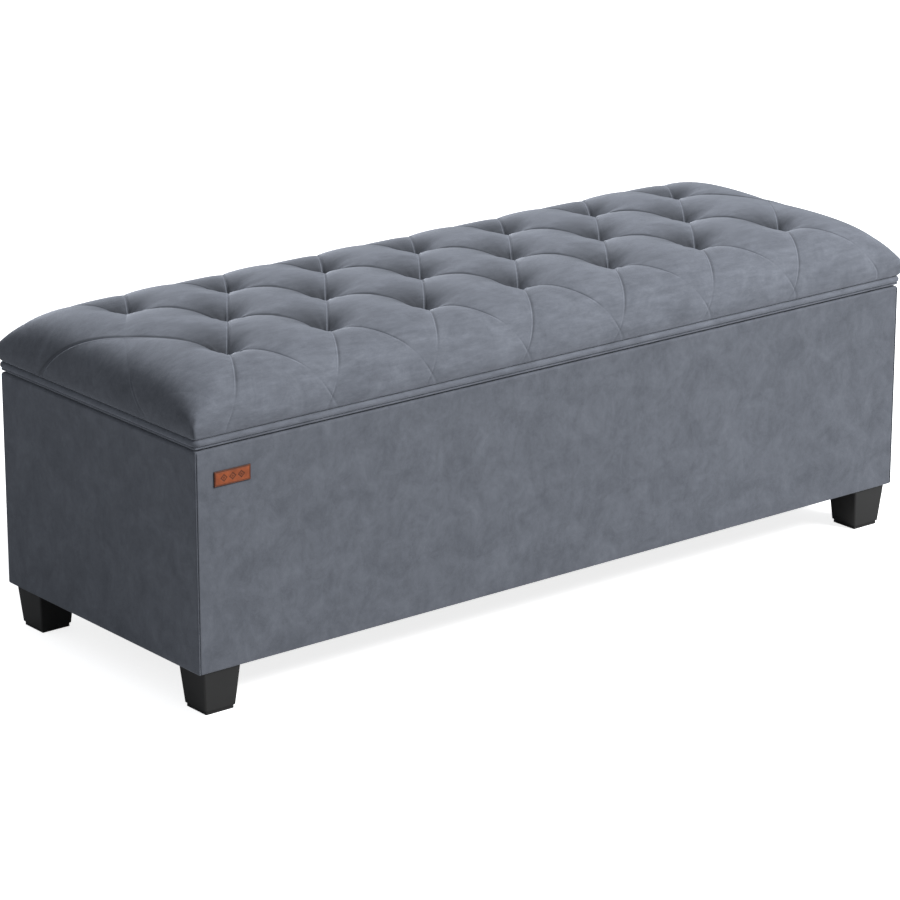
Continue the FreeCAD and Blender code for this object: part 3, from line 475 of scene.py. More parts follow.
def cloth_height(s, t):
    """How far the cloth stands off the plain dome, how much painted shade and how much
    painted highlight each point gets, and how firmly it is held.
    """
    p, q = to_diamonds(s, t)
    spacing = PITCH * 2 * ROW / math.hypot(PITCH, 2 * ROW)
    to_p, to_q = spacing * np.abs(p - np.round(p)), spacing * np.abs(q - np.round(q))
    away = np.hypot(s[:, None] - TUFTS[:, 0], t[:, None] - TUFTS[:, 1])
    nearest = away.min(1)
    which = away.argmin(1)
    beside = s - TUFTS[which, 0]
    behind = t - TUFTS[which, 1]

    past_row = np.clip(np.abs(t) - ROW, 0, None)
    past_end = np.clip(np.abs(s) - HALF_ROW * PITCH, 0, None)
    taut = 1 - 0.8 * smooth_step(15 * MM, 90 * MM, np.hypot(past_end, past_row))
    pillow = (1 - bell(to_p, PLUMP_RUN, 1)) * (1 - bell(to_q, PLUMP_RUN, 1))
    height = (PLUMP_RISE * pillow - PLUMP_SINK) * taut

    depth = np.where(np.abs(TUFTS[which, 1]) > 1 * MM, OUTER_PIT_DEPTH, INNER_PIT_DEPTH)
    stretch = np.where(behind > 0, STRETCH_BEHIND, STRETCH_BEFORE)
    height -= depth * bell(np.hypot(beside, behind / stretch), PIT_WIDTH, 1.25)

    near = bell(nearest, 40 * MM, 1)
    shade_and_stamp = 0
    painted_highlight = 0
    tied = bell(nearest, 16 * MM)
    rng = np.random.default_rng(SEED)
    for family, (value, other, sign) in enumerate(((p, q, 1), (q, p, -1))):
        line = np.round(value)
        across = spacing * (value - line)
        beyond = past_tufts(line, other, sign)
        shown = shown_part(family, s, line, beyond, past_end > past_row, rng)
        hold = 0.5 + 0.2 * family
        grip = shown * (hold + (1 - hold) * near)
        height -= 1.0 * MM * grip * bell(np.abs(across), 6 * MM, 1)
        tied = np.maximum(tied, 0.8 * shown * bell(across, 8 * MM))
        if family == 0:
            groove = bell(np.abs(across), 0.9 * MM, 1.5)
            rim = bell(across + 2.1 * MM, 1.0 * MM)
            height += grip * (0.8 * MM * rim - 1.4 * MM * groove)
            # Painted shade: a dark line laid just past each crease of this family, fainter on the
            # front. Painted highlight along the raised rim on its other side, stronger on the front.
            lay = 0.9 * MM + 1.9 * MM * (1 - smooth_step(ROW, ROW + 25 * MM, -t))
            on_front = smooth_step(ROW, ROW + 20 * MM, -t)
            dark = shown * (0.7 + 0.25 * near) * (1 - 0.6 * on_front)
            shade_and_stamp = np.maximum(shade_and_stamp, dark * bell(across - lay, 0.7 * MM + 0.4 * lay))
            painted_highlight = np.maximum(painted_highlight, (0.4 + 0.5 * on_front) * grip * rim)
        else:
            ridge = bell(across + 0.2 * MM, 0.55 * MM)
            groove = bell(across - 1.9 * MM, 0.9 * MM)
            height += grip * (0.7 * MM * ridge - 0.9 * MM * groove)
            # Painted shade in the groove beside the crease, and painted highlight along its thin
            # ridge.
            shade_and_stamp = np.maximum(shade_and_stamp, 0.65 * grip * groove)
            painted_highlight = np.maximum(painted_highlight, grip * ridge)

    height += gathers(np.arctan2(behind, beside), nearest, which, rng)
    # Painted shadow behind each tuft, shifted to one side. It gives way where a highlight is painted.
    shaded = np.hypot(beside + SHADOW_SHIFT, behind / stretch)
    shadow = bell(shaded, SHADOW_WIDTH) * smooth_step(-4 * MM, 12 * MM, behind)
    shade_and_stamp = np.maximum(shade_and_stamp, shadow * (1 - painted_highlight))

    # A seam runs down each corner of the cushion, and a line of painted shade stands for its crease.
    from_end, from_side = CLOTH_END - np.abs(s), CLOTH_SIDE - np.abs(t)
    low_down = 1 - smooth_step(12 * MM, 40 * MM, from_end)
    shade_and_stamp = np.maximum(shade_and_stamp, 0.8 * low_down * bell(from_end - from_side, 2.8 * MM))
    # The painted highlight is dimmed by up to half under the painted shadow.
    return height, np.clip(shade_and_stamp, 0, 1), np.clip(painted_highlight * (1 - shadow * 0.5), 0, 1), tied


def dome_points(s, t):
    """Places on the plain dome for points of the cloth."""
    x, rise_x = ACROSS.spot(s)
    y, rise_y = DEEP.spot(t)
    rise = rise_x * rise_y
    radius = SEAM_CORNER_ROUND + (CORNER_ROUND - SEAM_CORNER_ROUND) * smooth_step(0.3, 0.8, rise)
    x, y = round_corners(x, y, radius)
    return np.stack([x, y, WIDEST + DOME_RISE * rise], 1)


def vertex_array(piece, what):
    values = np.zeros(len(piece.data.vertices) * 3)
    piece.data.vertices.foreach_get(what, values)
    return values.reshape(-1, 3)


# The stuffing's pressure, how long it acts, the most it may move the cloth, and the cloth's grid.
SWELL_PRESSURE = 14
SWELL_FRAMES = 20
SWELL_CAP = 6 * MM
SWELL_STEP = 9 * MM


def swelling():
    """How the stuffing pushes the velvet out between its tufts, from a short cloth simulation.

    Gives the lines of a grid on the cloth, and the move of each of its crossings.
    """
    lines_s = np.linspace(-CLOTH_END, CLOTH_END, round(2 * CLOTH_END / SWELL_STEP) + 1)
    lines_t = np.linspace(-CLOTH_SIDE, CLOTH_SIDE, round(2 * CLOTH_SIDE / SWELL_STEP) + 1)
    s, t = (part.ravel() for part in np.meshgrid(lines_s, lines_t, indexing="ij"))
    rows = len(lines_t)
    corner = (np.arange(len(lines_s) - 1)[:, None] * rows + np.arange(rows - 1)).ravel()
    quads = np.stack([corner, corner + rows, corner + rows + 1, corner + 1], 1)
    trial = mesh_object("cover_trial", dome_points(s, t), quads.tolist())
    height, _, _, tied = cloth_height(s, t)
    start = vertex_array(trial, "co") + vertex_array(trial, "normal") * height[:, None]
    trial.data.vertices.foreach_set("co", start.ravel())
    trial.data.update()

    rim = (np.abs(s) > CLOTH_END - 1 * MM) | (np.abs(t) > CLOTH_SIDE - 1 * MM)
    pins = np.where(rim, 1.0, tied)
    held = trial.vertex_groups.new(name="held")
    for index in np.nonzero(pins > 0.02)[0]:
        held.add([int(index)], float(pins[index]), "REPLACE")
    cloth = trial.modifiers.new("cloth", "CLOTH")
    cloth.settings.vertex_group_mass = held.name
    cloth.settings.use_pressure = True
    cloth.settings.uniform_pressure_force = SWELL_PRESSURE
    cloth.settings.effector_weights.gravity = 0
    cloth.point_cache.frame_end = SWELL_FRAMES
    scene = bpy.context.scene
    for number in range(1, SWELL_FRAMES + 1):
        scene.frame_set(number)
    swollen = trial.evaluated_get(bpy.context.evaluated_depsgraph_get())
    move = vertex_array(swollen, "co") - start
    scene.frame_set(1)
    bpy.data.objects.remove(trial)
    far = np.linalg.norm(move, axis=1)
    move *= np.minimum(1, SWELL_CAP / np.maximum(far, 1e-9))[:, None]
    return lines_s, lines_t, move.reshape(len(lines_s), rows, 3)


def between(lines, value):
    """The cell that a value falls in, and how far along it."""
    place = (np.clip(value, lines[0], lines[-1]) - lines[0]) / (lines[1] - lines[0])
    cell = np.minimum(place.astype(int), len(lines) - 2)
    return cell, (place - cell)[:, None]


def swollen_move(grid, s, t):
    lines_s, lines_t, move = grid
    i, u = between(lines_s, s)
    j, v = between(lines_t, t)
    low = move[i, j] * (1 - u) + move[i + 1, j] * u
    high = move[i, j + 1] * (1 - u) + move[i + 1, j + 1] * u
    return low * (1 - v) + high * v


# The cushion's two ends are darkened with painted shade.
END_SHADE = 0.35


def tufted_cushion(material):
    cloth = cut_cloth()
    cloth.verts.index_update()
    flat = np.array([v.co for v in cloth.verts])
    faces = [[v.index for v in face.verts] for face in cloth.faces]
    rim = [v.index for v in edge_loop(cloth)]
    cloth.free()

    rim_flat = flat[rim, :2]
    at_end = np.abs(rim_flat[:, 0]) > CLOTH_END - 0.2 * MM
    at_side = np.abs(rim_flat[:, 1]) > CLOTH_SIDE - 0.2 * MM
    outward = np.stack([at_end * np.sign(rim_flat[:, 0]), at_side * np.sign(rim_flat[:, 1])], 1)
    rim_plain = np.stack([ACROSS.spot(rim_flat[:, 0])[0], DEEP.spot(rim_flat[:, 1])[0]])
    points, on_cloth = [dome_points(*flat[:, :2].T)], [flat[:, :2]]
    previous = np.array(rim)
    ring_x, ring_y = round_corners(*rim_plain, SEAM_CORNER_ROUND)
    for tuck, drop in SKIRT:
        scale_x = 1 - tuck * MM / CUSHION_X
        scale_y = 1 - tuck * MM / CUSHION_Y
        level = np.full(len(rim), WIDEST - drop * MM)
        ring = np.stack([ring_x * scale_x, ring_y * scale_y, level], 1)
        start = sum(len(part) for part in points)
        points.append(ring)
        on_cloth.append(rim_flat + outward * drop * MM)
        current = np.arange(start, start + len(rim))
        quads = [previous, current, np.roll(current, -1), np.roll(previous, -1)]
        faces += np.stack(quads, 1).tolist()
        previous = current
    faces.append(previous[::-1].tolist())

    points = np.concatenate(points)
    s, t = np.concatenate(on_cloth).T
    piece = mesh_object("tufted_cushion", points, faces)
    normals = vertex_array(piece, "normal")
    height, shade_and_stamp, painted_highlight, _ = cloth_height(s, t)
    # Painted shade on the cushion's two ends, where the surface turns to face sideways.
    shade_and_stamp = np.maximum(shade_and_stamp, END_SHADE * smooth_step(0.35, 0.85, np.abs(normals[:, 0])))
    low = smooth_step(CUSHION_BASE + 1 * MM, CUSHION_BASE + 9 * MM, points[:, 2])
    height = np.where(points[:, 2] < WIDEST, height * low, height)
    points = points + normals * height[:, None]
    points += swollen_move(swelling(), s, t) * (points[:, 2] >= WIDEST)[:, None]
    piece.data.vertices.foreach_set("co", points.ravel())
    piece.data.update()
    point_attribute(piece, "shade_and_stamp", shade_and_stamp)
    point_attribute(piece, "painted_highlight", painted_highlight)
    paint(piece, material)
    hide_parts("lid_cover", "lid_foam")
    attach(piece, "lid")


def tie_cords(material):
    """Twisted cords that hold the tufts down, from their toggles up to the bottom of each pit."""
    tops = dome_points(*TUFTS.T)
    tops[:, 2] += cloth_height(*TUFTS.T)[0] - 0.5 * MM
    rings, sides, plies = 24, 12, 3
    turns = np.linspace(0, 2 * math.pi, sides, endpoint=False)
    vertices, faces = [], []
    for x, y, top in tops:
        faces += sleeve(len(vertices), rings, sides)
        for level in np.linspace(TIES_LOW.z, top, rings):
            lobes = TIE_RADIUS * (0.88 + 0.12 * np.cos(plies * turns - level / (1.2 * MM)))
            round_x, round_y = x + lobes * np.cos(turns), y + lobes * np.sin(turns)
            vertices += np.stack([round_x, round_y, np.full(sides, level)], 1).tolist()
    piece = mesh_object("tie_cords", vertices, faces)
    paint(piece, material)
    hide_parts("tuft_ties")
    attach(piece, "lid")


# --- rings and strips swept round the bench ---


def rounded_route(half_x, half_y, radius, step):
    """Points and outward directions round a rounded rectangle, anticlockwise from the back right."""
    places, outward = [], []
    x, y = half_x - radius, half_y - radius
    centres = [Vector(spot) for spot in ((x, y), (-x, y), (-x, -y), (x, -y))]
    turns = 8
    for corner, centre in enumerate(centres):
        for k in range(turns + 1):
            angle = math.radians(90 * corner + 90 * k / turns)
            facing = Vector((math.cos(angle), math.sin(angle)))
            places.append(centre + radius * facing)
            outward.append(facing)
        here = places[-1]
        run = centres[(corner + 1) % 4] - centre
        count = max(1, round(run.length / step))
        places += [here + run * k / count for k in range(1, count)]
        outward += [facing] * (count - 1)
    return places, outward


def swept_ring(name, half_x, half_y, radius, section, step=6 * MM):
    """A closed ring whose section is a loop of (outward, up) points."""
    places, outward = rounded_route(half_x, half_y, radius, step)
    vertices, faces = [], []
    for place, facing in zip(places, outward):
        for out, up in section:
            spot = place + facing * out
            vertices.append((spot.x, spot.y, up))
    size, count = len(section), len(places)
    for i in range(count):
        here, there = i * size, (i + 1) % count * size
        for j in range(size):
            after = (j + 1) % size
            faces.append((here + j, there + j, there + after, here + after))
    return mesh_object(name, vertices, faces)


def welt(material):
    radius = (WELT_HIGH.z - WELT_LOW.z) / 2
    middle = (WELT_HIGH.z + WELT_LOW.z) / 2
    section, sides = [], 20
    for k in range(sides):
        angle = math.radians(360 * k / sides)
        section.append((radius * math.cos(angle), middle + radius * math.sin(angle) * 0.98))
    corner = 5 * MM
    piece = swept_ring("piped_welt", WELT_HIGH.x - radius, WELT_HIGH.y - radius, corner, section)
    paint(piece, material)
    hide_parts("lid_welt")
    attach(piece, "lid")


# --- stretched velvet on the box ---

# The cover's thickness, its hem under the box, how far in it wraps over the rim, and the level
# that it comes down to inside. Its mesh slants to a mitre within MITRE_RUN of each corner.
CLOTH = 2 * MM
HEM = 30 * MM
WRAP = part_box("front_panel")[1].y + BODY_Y + CLOTH
WRAP_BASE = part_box("front_liner")[1].z
MITRE_RUN = 42 * MM

# Steps round a bend.
TURNS = 6


def bend(centre, radius, start, finish):
    """Points on an arc in the plane of depth and height, its angles in degrees."""
    angles = [math.radians(start + (finish - start) * k / TURNS) for k in range(TURNS + 1)]
    return [(centre[0] + radius * math.cos(a), centre[1] + radius * math.sin(a)) for a in angles]


def cover_section(step):
    """The cover's section as (depth behind the face, height), in two lists: its outside from the
    hem up the face, over the rim and down within, and its inside on the way back.
    """
    low, high = BODY_LOW.z, BODY_HIGH.z
    ease, crown, inner = 2.5 * MM, 4 * MM, 3 * MM
    outer = [(HEM, low)]
    outer += bend((ease, low + ease), ease, 270, 180)
    rise = np.arange(low + ease + step, high - crown - step / 2, step)
    outer += [(0.0, float(level)) for level in rise]
    outer += bend((crown, high - crown), crown, 180, 90)
    outer += bend((WRAP - inner, high - inner), inner, 90, 0)
    outer += [(WRAP, WRAP_BASE)]
    lining = [(WRAP - CLOTH, WRAP_BASE), (WRAP - CLOTH, high - CLOTH), (CLOTH, high - CLOTH)]
    lining += [(CLOTH, low + CLOTH), (HEM, low + CLOTH)]
    return outer, lining


def cover_columns(half, step):
    """Columns of the cover as (side, value). On side -1 or 1 the value is the distance in from that
    mitred end, and on side 0 it is the place along the cover.
    """
    tip = [part * MM for part in (0, 0.15, 0.4, 0.8, 1.4, 2.2, 3.4, 5, 8, 14, 24, 34)]
    middle = half - MITRE_RUN
    count = round(2 * middle / step)
    columns = [(-1, e) for e in tip]
    columns += [(0, -middle + 2 * middle * k / count) for k in range(count + 1)]
    columns += [(1, e) for e in reversed(tip)]
    return columns


def stretched_cover(face, half, reach, place, seam, material):
    """Velvet stretched over one side of the box. place turns (along, out, up) into a point."""
    step = 8 * MM
    outer, lining = cover_section(step)
    section = outer + lining
    columns = cover_columns(half, step)
    easing = 1.6 * MM
    # Painted shade along each corner seam: strong on the front and back covers, whose edges sit back
    # at the seam, faint on the end covers.
    seam_shade = 0.75 if seam > CLOTH else 0.15
    vertices, shade_and_stamp = [], []
    for side, value in columns:
        for depth, level in section:
            back = max(depth, seam)
            if side == 0:
                along = value
                to_end = half - abs(value)
            else:
                along = side * (half - value - back * (1 - value / MITRE_RUN))
                to_end = value
            out = reach - depth
            if to_end < easing and depth < 0.5 * CLOTH:
                out -= easing - math.sqrt(easing**2 - (easing - to_end) ** 2)
            vertices.append((along, out, level))
            # Painted shade in the last 0.9 mm of the outer face before each corner.
            shade_and_stamp.append(seam_shade * max(0.0, 1 - to_end / (0.9 * MM)) if depth < CLOTH else 0.0)
    points = np.array(vertices)
    calm = smooth_step(0, 12 * MM, half - np.abs(points[:, 0]) - seam)
    on_face = points[:, 1] > reach - 0.1 * MM
    sway = ripple(points, 90 * MM, 0.5 * MM, len(face))
    sway += ripple(points, 31 * MM, 0.16 * MM, 9 + len(face))
    points[:, 1] += np.where(on_face, (sway - 0.25 * MM) * calm, 0)
    faces = sleeve(0, len(columns), len(section))
    piece = mesh_object(f"{face}_cover_cloth", [place(*p) for p in points], faces)
    face_out(piece)
    point_attribute(piece, "shade_and_stamp", shade_and_stamp)
    paint(piece, material)
    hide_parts(f"{face}_cover")
    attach(piece, "box")
    return piece


def face_out(piece):
    """Turns every face of a closed piece outwards."""
    shape = bmesh.new()
    shape.from_mesh(piece.data)
    bmesh.ops.recalc_face_normals(shape, faces=shape.faces[:])
    shape.to_mesh(piece.data)
    shape.free()
    piece.data.update()


def cut_away(piece, low, high):
    """Takes a box out of a closed piece."""
    corners = list(product(*zip(low, high)))
    sides = [(0, 1, 3, 2), (4, 6, 7, 5), (0, 4, 5, 1), (2, 3, 7, 6), (0, 2, 6, 4), (1, 5, 7, 3)]
    tool = mesh_object("notch_tool", corners, sides, smooth=False)
    cut = piece.modifiers.new("notch", "BOOLEAN")
    cut.operation = "DIFFERENCE"
    cut.solver = "EXACT"
    cut.object = tool
    whole = piece.data
    seen = piece.evaluated_get(bpy.context.evaluated_depsgraph_get())
    piece.data = bpy.data.meshes.new_from_object(seen)
    piece.modifiers.clear()
    bpy.data.meshes.remove(whole)
    bpy.data.objects.remove(tool)


def hinge_notches(cover):
    """The fixed leaves lie on bare board, so the back cover is cut out round them."""
    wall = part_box("back_panel")[0].y
    for end in ("left", "right"):
        low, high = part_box(f"hinge_{end}_box_leaf")
        near, far = low.x - LEAF_GAP, high.x + LEAF_GAP
        above = high.z + LEAF_GAP
        cut_away(cover, (near, wall - 2 * CLOTH, WRAP_BASE - LEAF_GAP), (far, wall + LEAF_GAP, above))
        cut_away(cover, (near, wall, LEAF_LOW.z - LEAF_GAP), (far, high.y + CLOTH, above))


def box_covers(material):
    end_seam, side_seam = 0.15 * MM, 2.3 * MM
    stretched_cover("front", BODY_X, BODY_Y, lambda a, o, z: (a, -o, z), side_seam, material)
    back = stretched_cover("back", BODY_X, BODY_Y, lambda a, o, z: (-a, o, z), side_seam, material)
    hinge_notches(back)
    stretched_cover("left", BODY_Y, BODY_X, lambda a, o, z: (-o, -a, z), end_seam, material)
    stretched_cover("right", BODY_Y, BODY_X, lambda a, o, z: (o, a, z), end_seam, material)


# --- the wrapped edge of the lid board ---

BAND_LOW, BAND_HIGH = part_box("lid_band")


def band_section():
    low, high = BAND_LOW.z, BAND_HIGH.z
    ease = 1.1 * MM
    arc = bend((ease, low + ease), ease, 270, 180) + bend((ease, high - ease), ease, 180, 90)
    edge = BODY_X - BOARD_HIGH.x
    step = low + 1 * MM
    return [(HEM, low)] + arc + [(edge, high), (edge, step), (HEM, step)]


def wrapped_strip(name, stations, material):
    """A strip of wrapped edge. Each station is a place on the edge and the direction into the lid."""
    section = band_section()
    vertices = []
    for place, inward in stations:
        vertices += [(*(place + inward * depth), level) for depth, level in section]
    piece = mesh_object(name, vertices, sleeve(0, len(stations), len(section)))
    face_out(piece)
    paint(piece, material)
    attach(piece, "lid")
    return piece


def edge_stations(start, end):
    """Stations on a straight run from one place to another, both on the same side of the lid."""
    run = Vector(end) - Vector(start)
    count = max(1, round(run.length / (9 * MM)))
    along = run.normalized()
    inward = Vector((-along.y, along.x))
    return [(Vector(start) + run * k / count, inward) for k in range(count + 1)]


def corner_stations(sx, sy, start_angle):
    """Stations round a corner of the lid, their depth running towards the mitre."""
    ease = 2.5 * MM
    centre = Vector((sx * (BODY_X - ease), sy * (BODY_Y - ease)))
    angles = [math.radians(start_angle + 90 * k / TURNS) for k in range(TURNS + 1)]
    places = [centre + ease * Vector((math.cos(a), math.sin(a))) for a in angles]
    return [(place, Vector((-sx, -sy))) for place in places]


def lid_edge(material):
    """A strip between the hinges, and one round the rest of the lid from hinge to hinge."""
    near, far = LEAF_LOW.x - LEAF_GAP, LEAF_HIGH.x + LEAF_GAP
    inset = MITRE_RUN
    x, y = BODY_X, BODY_Y
    middle = edge_stations((near, y), (-near, y))
    back = wrapped_strip("lid_edge_wrap_back", middle, material)
    long_run = edge_stations((-far, y), (-x + inset, y))
    long_run += corner_stations(-1, 1, 90)
    long_run += edge_stations((-x, y - inset), (-x, -y + inset))
    long_run += corner_stations(-1, -1, 180)
    long_run += edge_stations((-x + inset, -y), (x - inset, -y))
    long_run += corner_stations(1, -1, 270)
    long_run += edge_stations((x, -y + inset), (x, y - inset))
    long_run += corner_stations(1, 1, 0)
    long_run += edge_stations((x - inset, y), (far, y))
    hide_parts("lid_band")
    wrapped_strip("lid_edge_wrap", long_run, material)


# --- linings ---


def lining_sheet(node, body, across, wave, material, notches=()):
    """A thin lining in the place of a CAD sheet. across is the axis it is thin along, and each
    notch is left open between its two limits on each of the other axes.
    """
    low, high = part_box(node)
    flat_axes = [axis for axis in range(3) if axis != across]
    grids = []
    for axis in flat_axes:
        count = max(2, round((high[axis] - low[axis]) / (14 * MM)))
        line = [low[axis] + (high[axis] - low[axis]) * k / count for k in range(count + 1)]
        edges = [edge for notch in notches for edge in notch[flat_axes.index(axis)]]
        line += [edge for edge in edges if low[axis] < edge < high[axis]]
        grids.append(sorted(set(line)))
    shape = bmesh.new()
    rows = []
    for u in grids[0]:
        row = []
        for v in grids[1]:
            spot = (low + high) / 2
            spot[flat_axes[0]], spot[flat_axes[1]] = u, v
            row.append(shape.verts.new(spot))
        rows.append(row)
    for i, (u0, u1) in enumerate(zip(grids[0], grids[0][1:])):
        for j, (v0, v1) in enumerate(zip(grids[1], grids[1][1:])):
            cu, cv = (u0 + u1) / 2, (v0 + v1) / 2
            if not any(a[0] < cu < a[1] and b[0] < cv < b[1] for a, b in notches):
                shape.faces.new((rows[i][j], rows[i + 1][j], rows[i + 1][j + 1], rows[i][j + 1]))
    bmesh.ops.delete(shape, geom=[v for v in shape.verts if not v.link_faces], context="VERTS")
    shape.verts.ensure_lookup_table()
    offset = ripple([v.co for v in shape.verts], 70 * MM, wave, across + len(node))
    thick = high[across] - low[across]
    made = bmesh.ops.extrude_face_region(shape, geom=shape.faces[:])
    moved = {v for v in made["geom"] if isinstance(v, bmesh.types.BMVert)}
    base = [v for v in shape.verts if v not in moved]
    for v, lift in zip(base, offset):
        v.co[across] += lift - thick / 2

    def place_on_sheet(v):
        return tuple(round(v.co[axis], 6) for axis in flat_axes)

    for top, bottom in zip(sorted(moved, key=place_on_sheet), sorted(base, key=place_on_sheet)):
        top.co[across] = bottom.co[across] + thick
    bmesh.ops.recalc_face_normals(shape, faces=shape.faces[:])
    mesh = bpy.data.meshes.new(f"{node}_cloth")
    shape.to_mesh(mesh)
    shape.free()
    mesh.polygons.foreach_set("use_smooth", [True] * len(mesh.polygons))
    piece = link(f"{node}_cloth", mesh)
    mesh.set_sharp_from_angle(angle=math.radians(40))
    paint(piece, material)
    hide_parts(node)
    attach(piece, body)


def linings():
    material = nonwoven("lining_cloth")
    for face, across in (("front", 1), ("back", 1), ("left", 0), ("right", 0), ("bottom", 2)):
        lining_sheet(f"{face}_liner", "box", across, 0.3 * MM, material)
    lining_sheet("dust_cover", "box", 2, 0.5 * MM, material)
    notches = []
    for side in (-1, 1):
        ends = sorted((side * (LEAF_LOW.x - LEAF_GAP), side * (LEAF_HIGH.x + LEAF_GAP)))
        notches.append((ends, (LEAF_LOW.y - LEAF_GAP, BODY_Y)))
    lining_sheet("lid_lining", "lid", 2, 0.4 * MM, material, notches)


# --- leather tag ---


def leather_tag(material):
    """A leather tag with a stamped border and a row of three stamped lozenges."""
    low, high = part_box("leather_tag")
    width, tall = high.x - low.x, high.z - low.z
    step = 0.25 * MM
    columns, rows = round(width / step), round(tall / step)
    u = np.linspace(0, width, columns + 1)
    v = np.linspace(0, tall, rows + 1)
    across, up = np.meshgrid(u, v, indexing="ij")
    edge = np.minimum.reduce([across, width - across, up, tall - up])
    ease = 0.7 * MM
    drop = ease - np.sqrt(np.clip(ease**2 - np.clip(ease - edge, 0, None) ** 2, 0, None))
    border_in, border_width = 1.6 * MM, 0.28 * MM
    border = bell(edge - border_in, border_width)
    pitch, half_long, half_tall = 12 * MM, 4.8 * MM, 4.4 * MM
    from_middle = (across - width / 2) / pitch
    nearest = np.clip(np.round(from_middle), -1, 1)
    lozenge = np.abs(from_middle - nearest) * pitch / half_long + np.abs(up - tall / 2) / half_tall
    ring = bell(lozenge - 0.85, 0.18) + 0.9 * bell(lozenge, 0.35)
    border_depth, ring_depth = 0.28 * MM, 0.32 * MM
    relief = drop + border * border_depth + ring * ring_depth
    flat = np.stack([across.ravel(), up.ravel(), 0 * up.ravel()], 1)
    relief += ripple(flat, 1.1 * MM, 0.05 * MM, 5).reshape(relief.shape)
    front = np.stack([low.x + across, low.y + relief, low.z + up], -1).reshape(-1, 3)
    vertices = front.tolist()
    tall_count = rows + 1
    faces = []
    for i in range(columns):
        for j in range(rows):
            a = i * tall_count + j
            faces.append((a, a + tall_count, a + tall_count + 1, a + 1))
    rim = [i * tall_count for i in range(columns + 1)]
    rim += [columns * tall_count + j for j in range(1, rows + 1)]
    rim += [i * tall_count + rows for i in range(columns - 1, -1, -1)]
    rim += range(rows - 1, 0, -1)
    start = len(vertices)
    vertices += [(vertices[k][0], high.y, vertices[k][2]) for k in rim]
    for k in range(len(rim)):
        after = (k + 1) % len(rim)
        faces.append((rim[after], rim[k], start + k, start + after))
    faces.append(tuple(range(start, start + len(rim)))[::-1])
    piece = mesh_object("stamped_leather_tag", vertices, faces)
    face_out(piece)
    stamp = np.maximum(np.clip(ring + border, 0, 1), bell(edge, border_in))
    point_attribute(piece, "shade_and_stamp", np.concatenate([stamp.ravel(), np.ones(len(rim))]))
    paint(piece, material)
    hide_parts("leather_tag")
    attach(piece, "box")


# --- finishes of the hard parts ---


def leather(name):
    shader = Shader(name)
    pores = shader.cells(1500)
    tone = shader.noise(90, 4)
    colour = shader.two_tone(tone, (0.19, 0.043, 0.012), (0.30, 0.072, 0.020))
    colour = shader.shaded(colour, shader.attribute("shade_and_stamp"), (0.0, 1.0), (1.0, 0.22))
    normal = shader.bump(pores, 0.12 * MM, 0.5)
    shader.set(Specular_IOR_Level=0.35)
    return shader.finish(colour, shader.range(tone, 0.62, 0.5), normal)


def nonwoven(name):
    """Black non-woven lining, thermally pointed in a close grid."""
    shader = Shader(name)
    fibres = shader.noise(700, 5, 0.7)
    points = shader.cells(420)
    colour = shader.two_tone(fibres, (0.008, 0.008, 0.009), (0.022, 0.022, 0.024))
    dots = shader.bump(points, 0.3 * MM, 0.6)
    normal = shader.bump(fibres, 0.2 * MM, 0.5, under=dots)
    shader.set(Specular_IOR_Level=0.25)
    return shader.finish(colour, shader.range(fibres, 0.95, 0.75), normal)


def chipboard(name):
    shader = Shader(name)
    chips = shader.cells(260, place=shader.stretched((1, 1, 2.4)))
    dust = shader.noise(500, 4)
    shades = ((0.24, 0.165, 0.095), (0.44, 0.33, 0.21), (0.56, 0.44, 0.30))
    colour = shader.ramp(chips, list(zip((0.1, 0.5, 0.9), shades)))
    normal = shader.bump(dust, 0.15 * MM, 0.4)
    return shader.finish(colour, shader.range(dust, 0.9, 0.75), normal)


def plain_wood(name):
    shader = Shader(name)
    grain = shader.noise(1, 5, 0.6, place=shader.stretched((260, 260, 18)), distortion=0.6)
    colour = shader.two_tone(grain, (0.36, 0.24, 0.13), (0.58, 0.42, 0.25))
    normal = shader.bump(grain, 0.2 * MM, 0.4)
    return shader.finish(colour, shader.range(grain, 0.75, 0.6), normal)


def moulded(name, dark, light, rough, pits):
    """Moulded plastic or rubber with a fine spark-eroded texture."""
    shader = Shader(name)
    texture = shader.noise(pits, 3)
    cloud = shader.noise(26, 3)
    colour = shader.two_tone(cloud, grey(dark), grey(light))
    normal = shader.bump(texture, 0.06 * MM, 0.5)
    return shader.finish(colour, shader.range(cloud, rough, rough + 0.1), normal)


def brushed(name, dark, light, rough, streak):
    """Plated steel with fine rolling marks."""
    shader = Shader(name)
    marks = shader.noise(1, 4, 0.6, place=shader.stretched(streak))
    colour = shader.two_tone(marks, dark, light)
    normal = shader.bump(marks, 0.03 * MM, 0.4)
    shader.set(Metallic=1.0)
    return shader.finish(colour, shader.range(marks, rough, rough + 0.14), normal)


def foam(name):
    shader = Shader(name)
    pores = shader.cells(800)
    colour = shader.ramp(pores, [(0.1, (0.50, 0.44, 0.30)), (0.8, (0.76, 0.70, 0.52))])
    rough = shader.range(pores, 0.95, 0.8, low=0, high=1)
    return shader.finish(colour, rough, shader.bump(pores, 0.4 * MM, 0.6))


def twisted(name):
    shader = Shader(name)
    plies = shader.noise(1, 3, place=shader.stretched((900, 900, 240), (0.5, 0.5, 0)))
    colour = shader.two_tone(plies, (0.42, 0.39, 0.33), (0.66, 0.63, 0.55))
    normal = shader.bump(plies, 0.2 * MM, 0.6)
    return shader.finish(colour, shader.range(plies, 0.85, 0.7), normal)


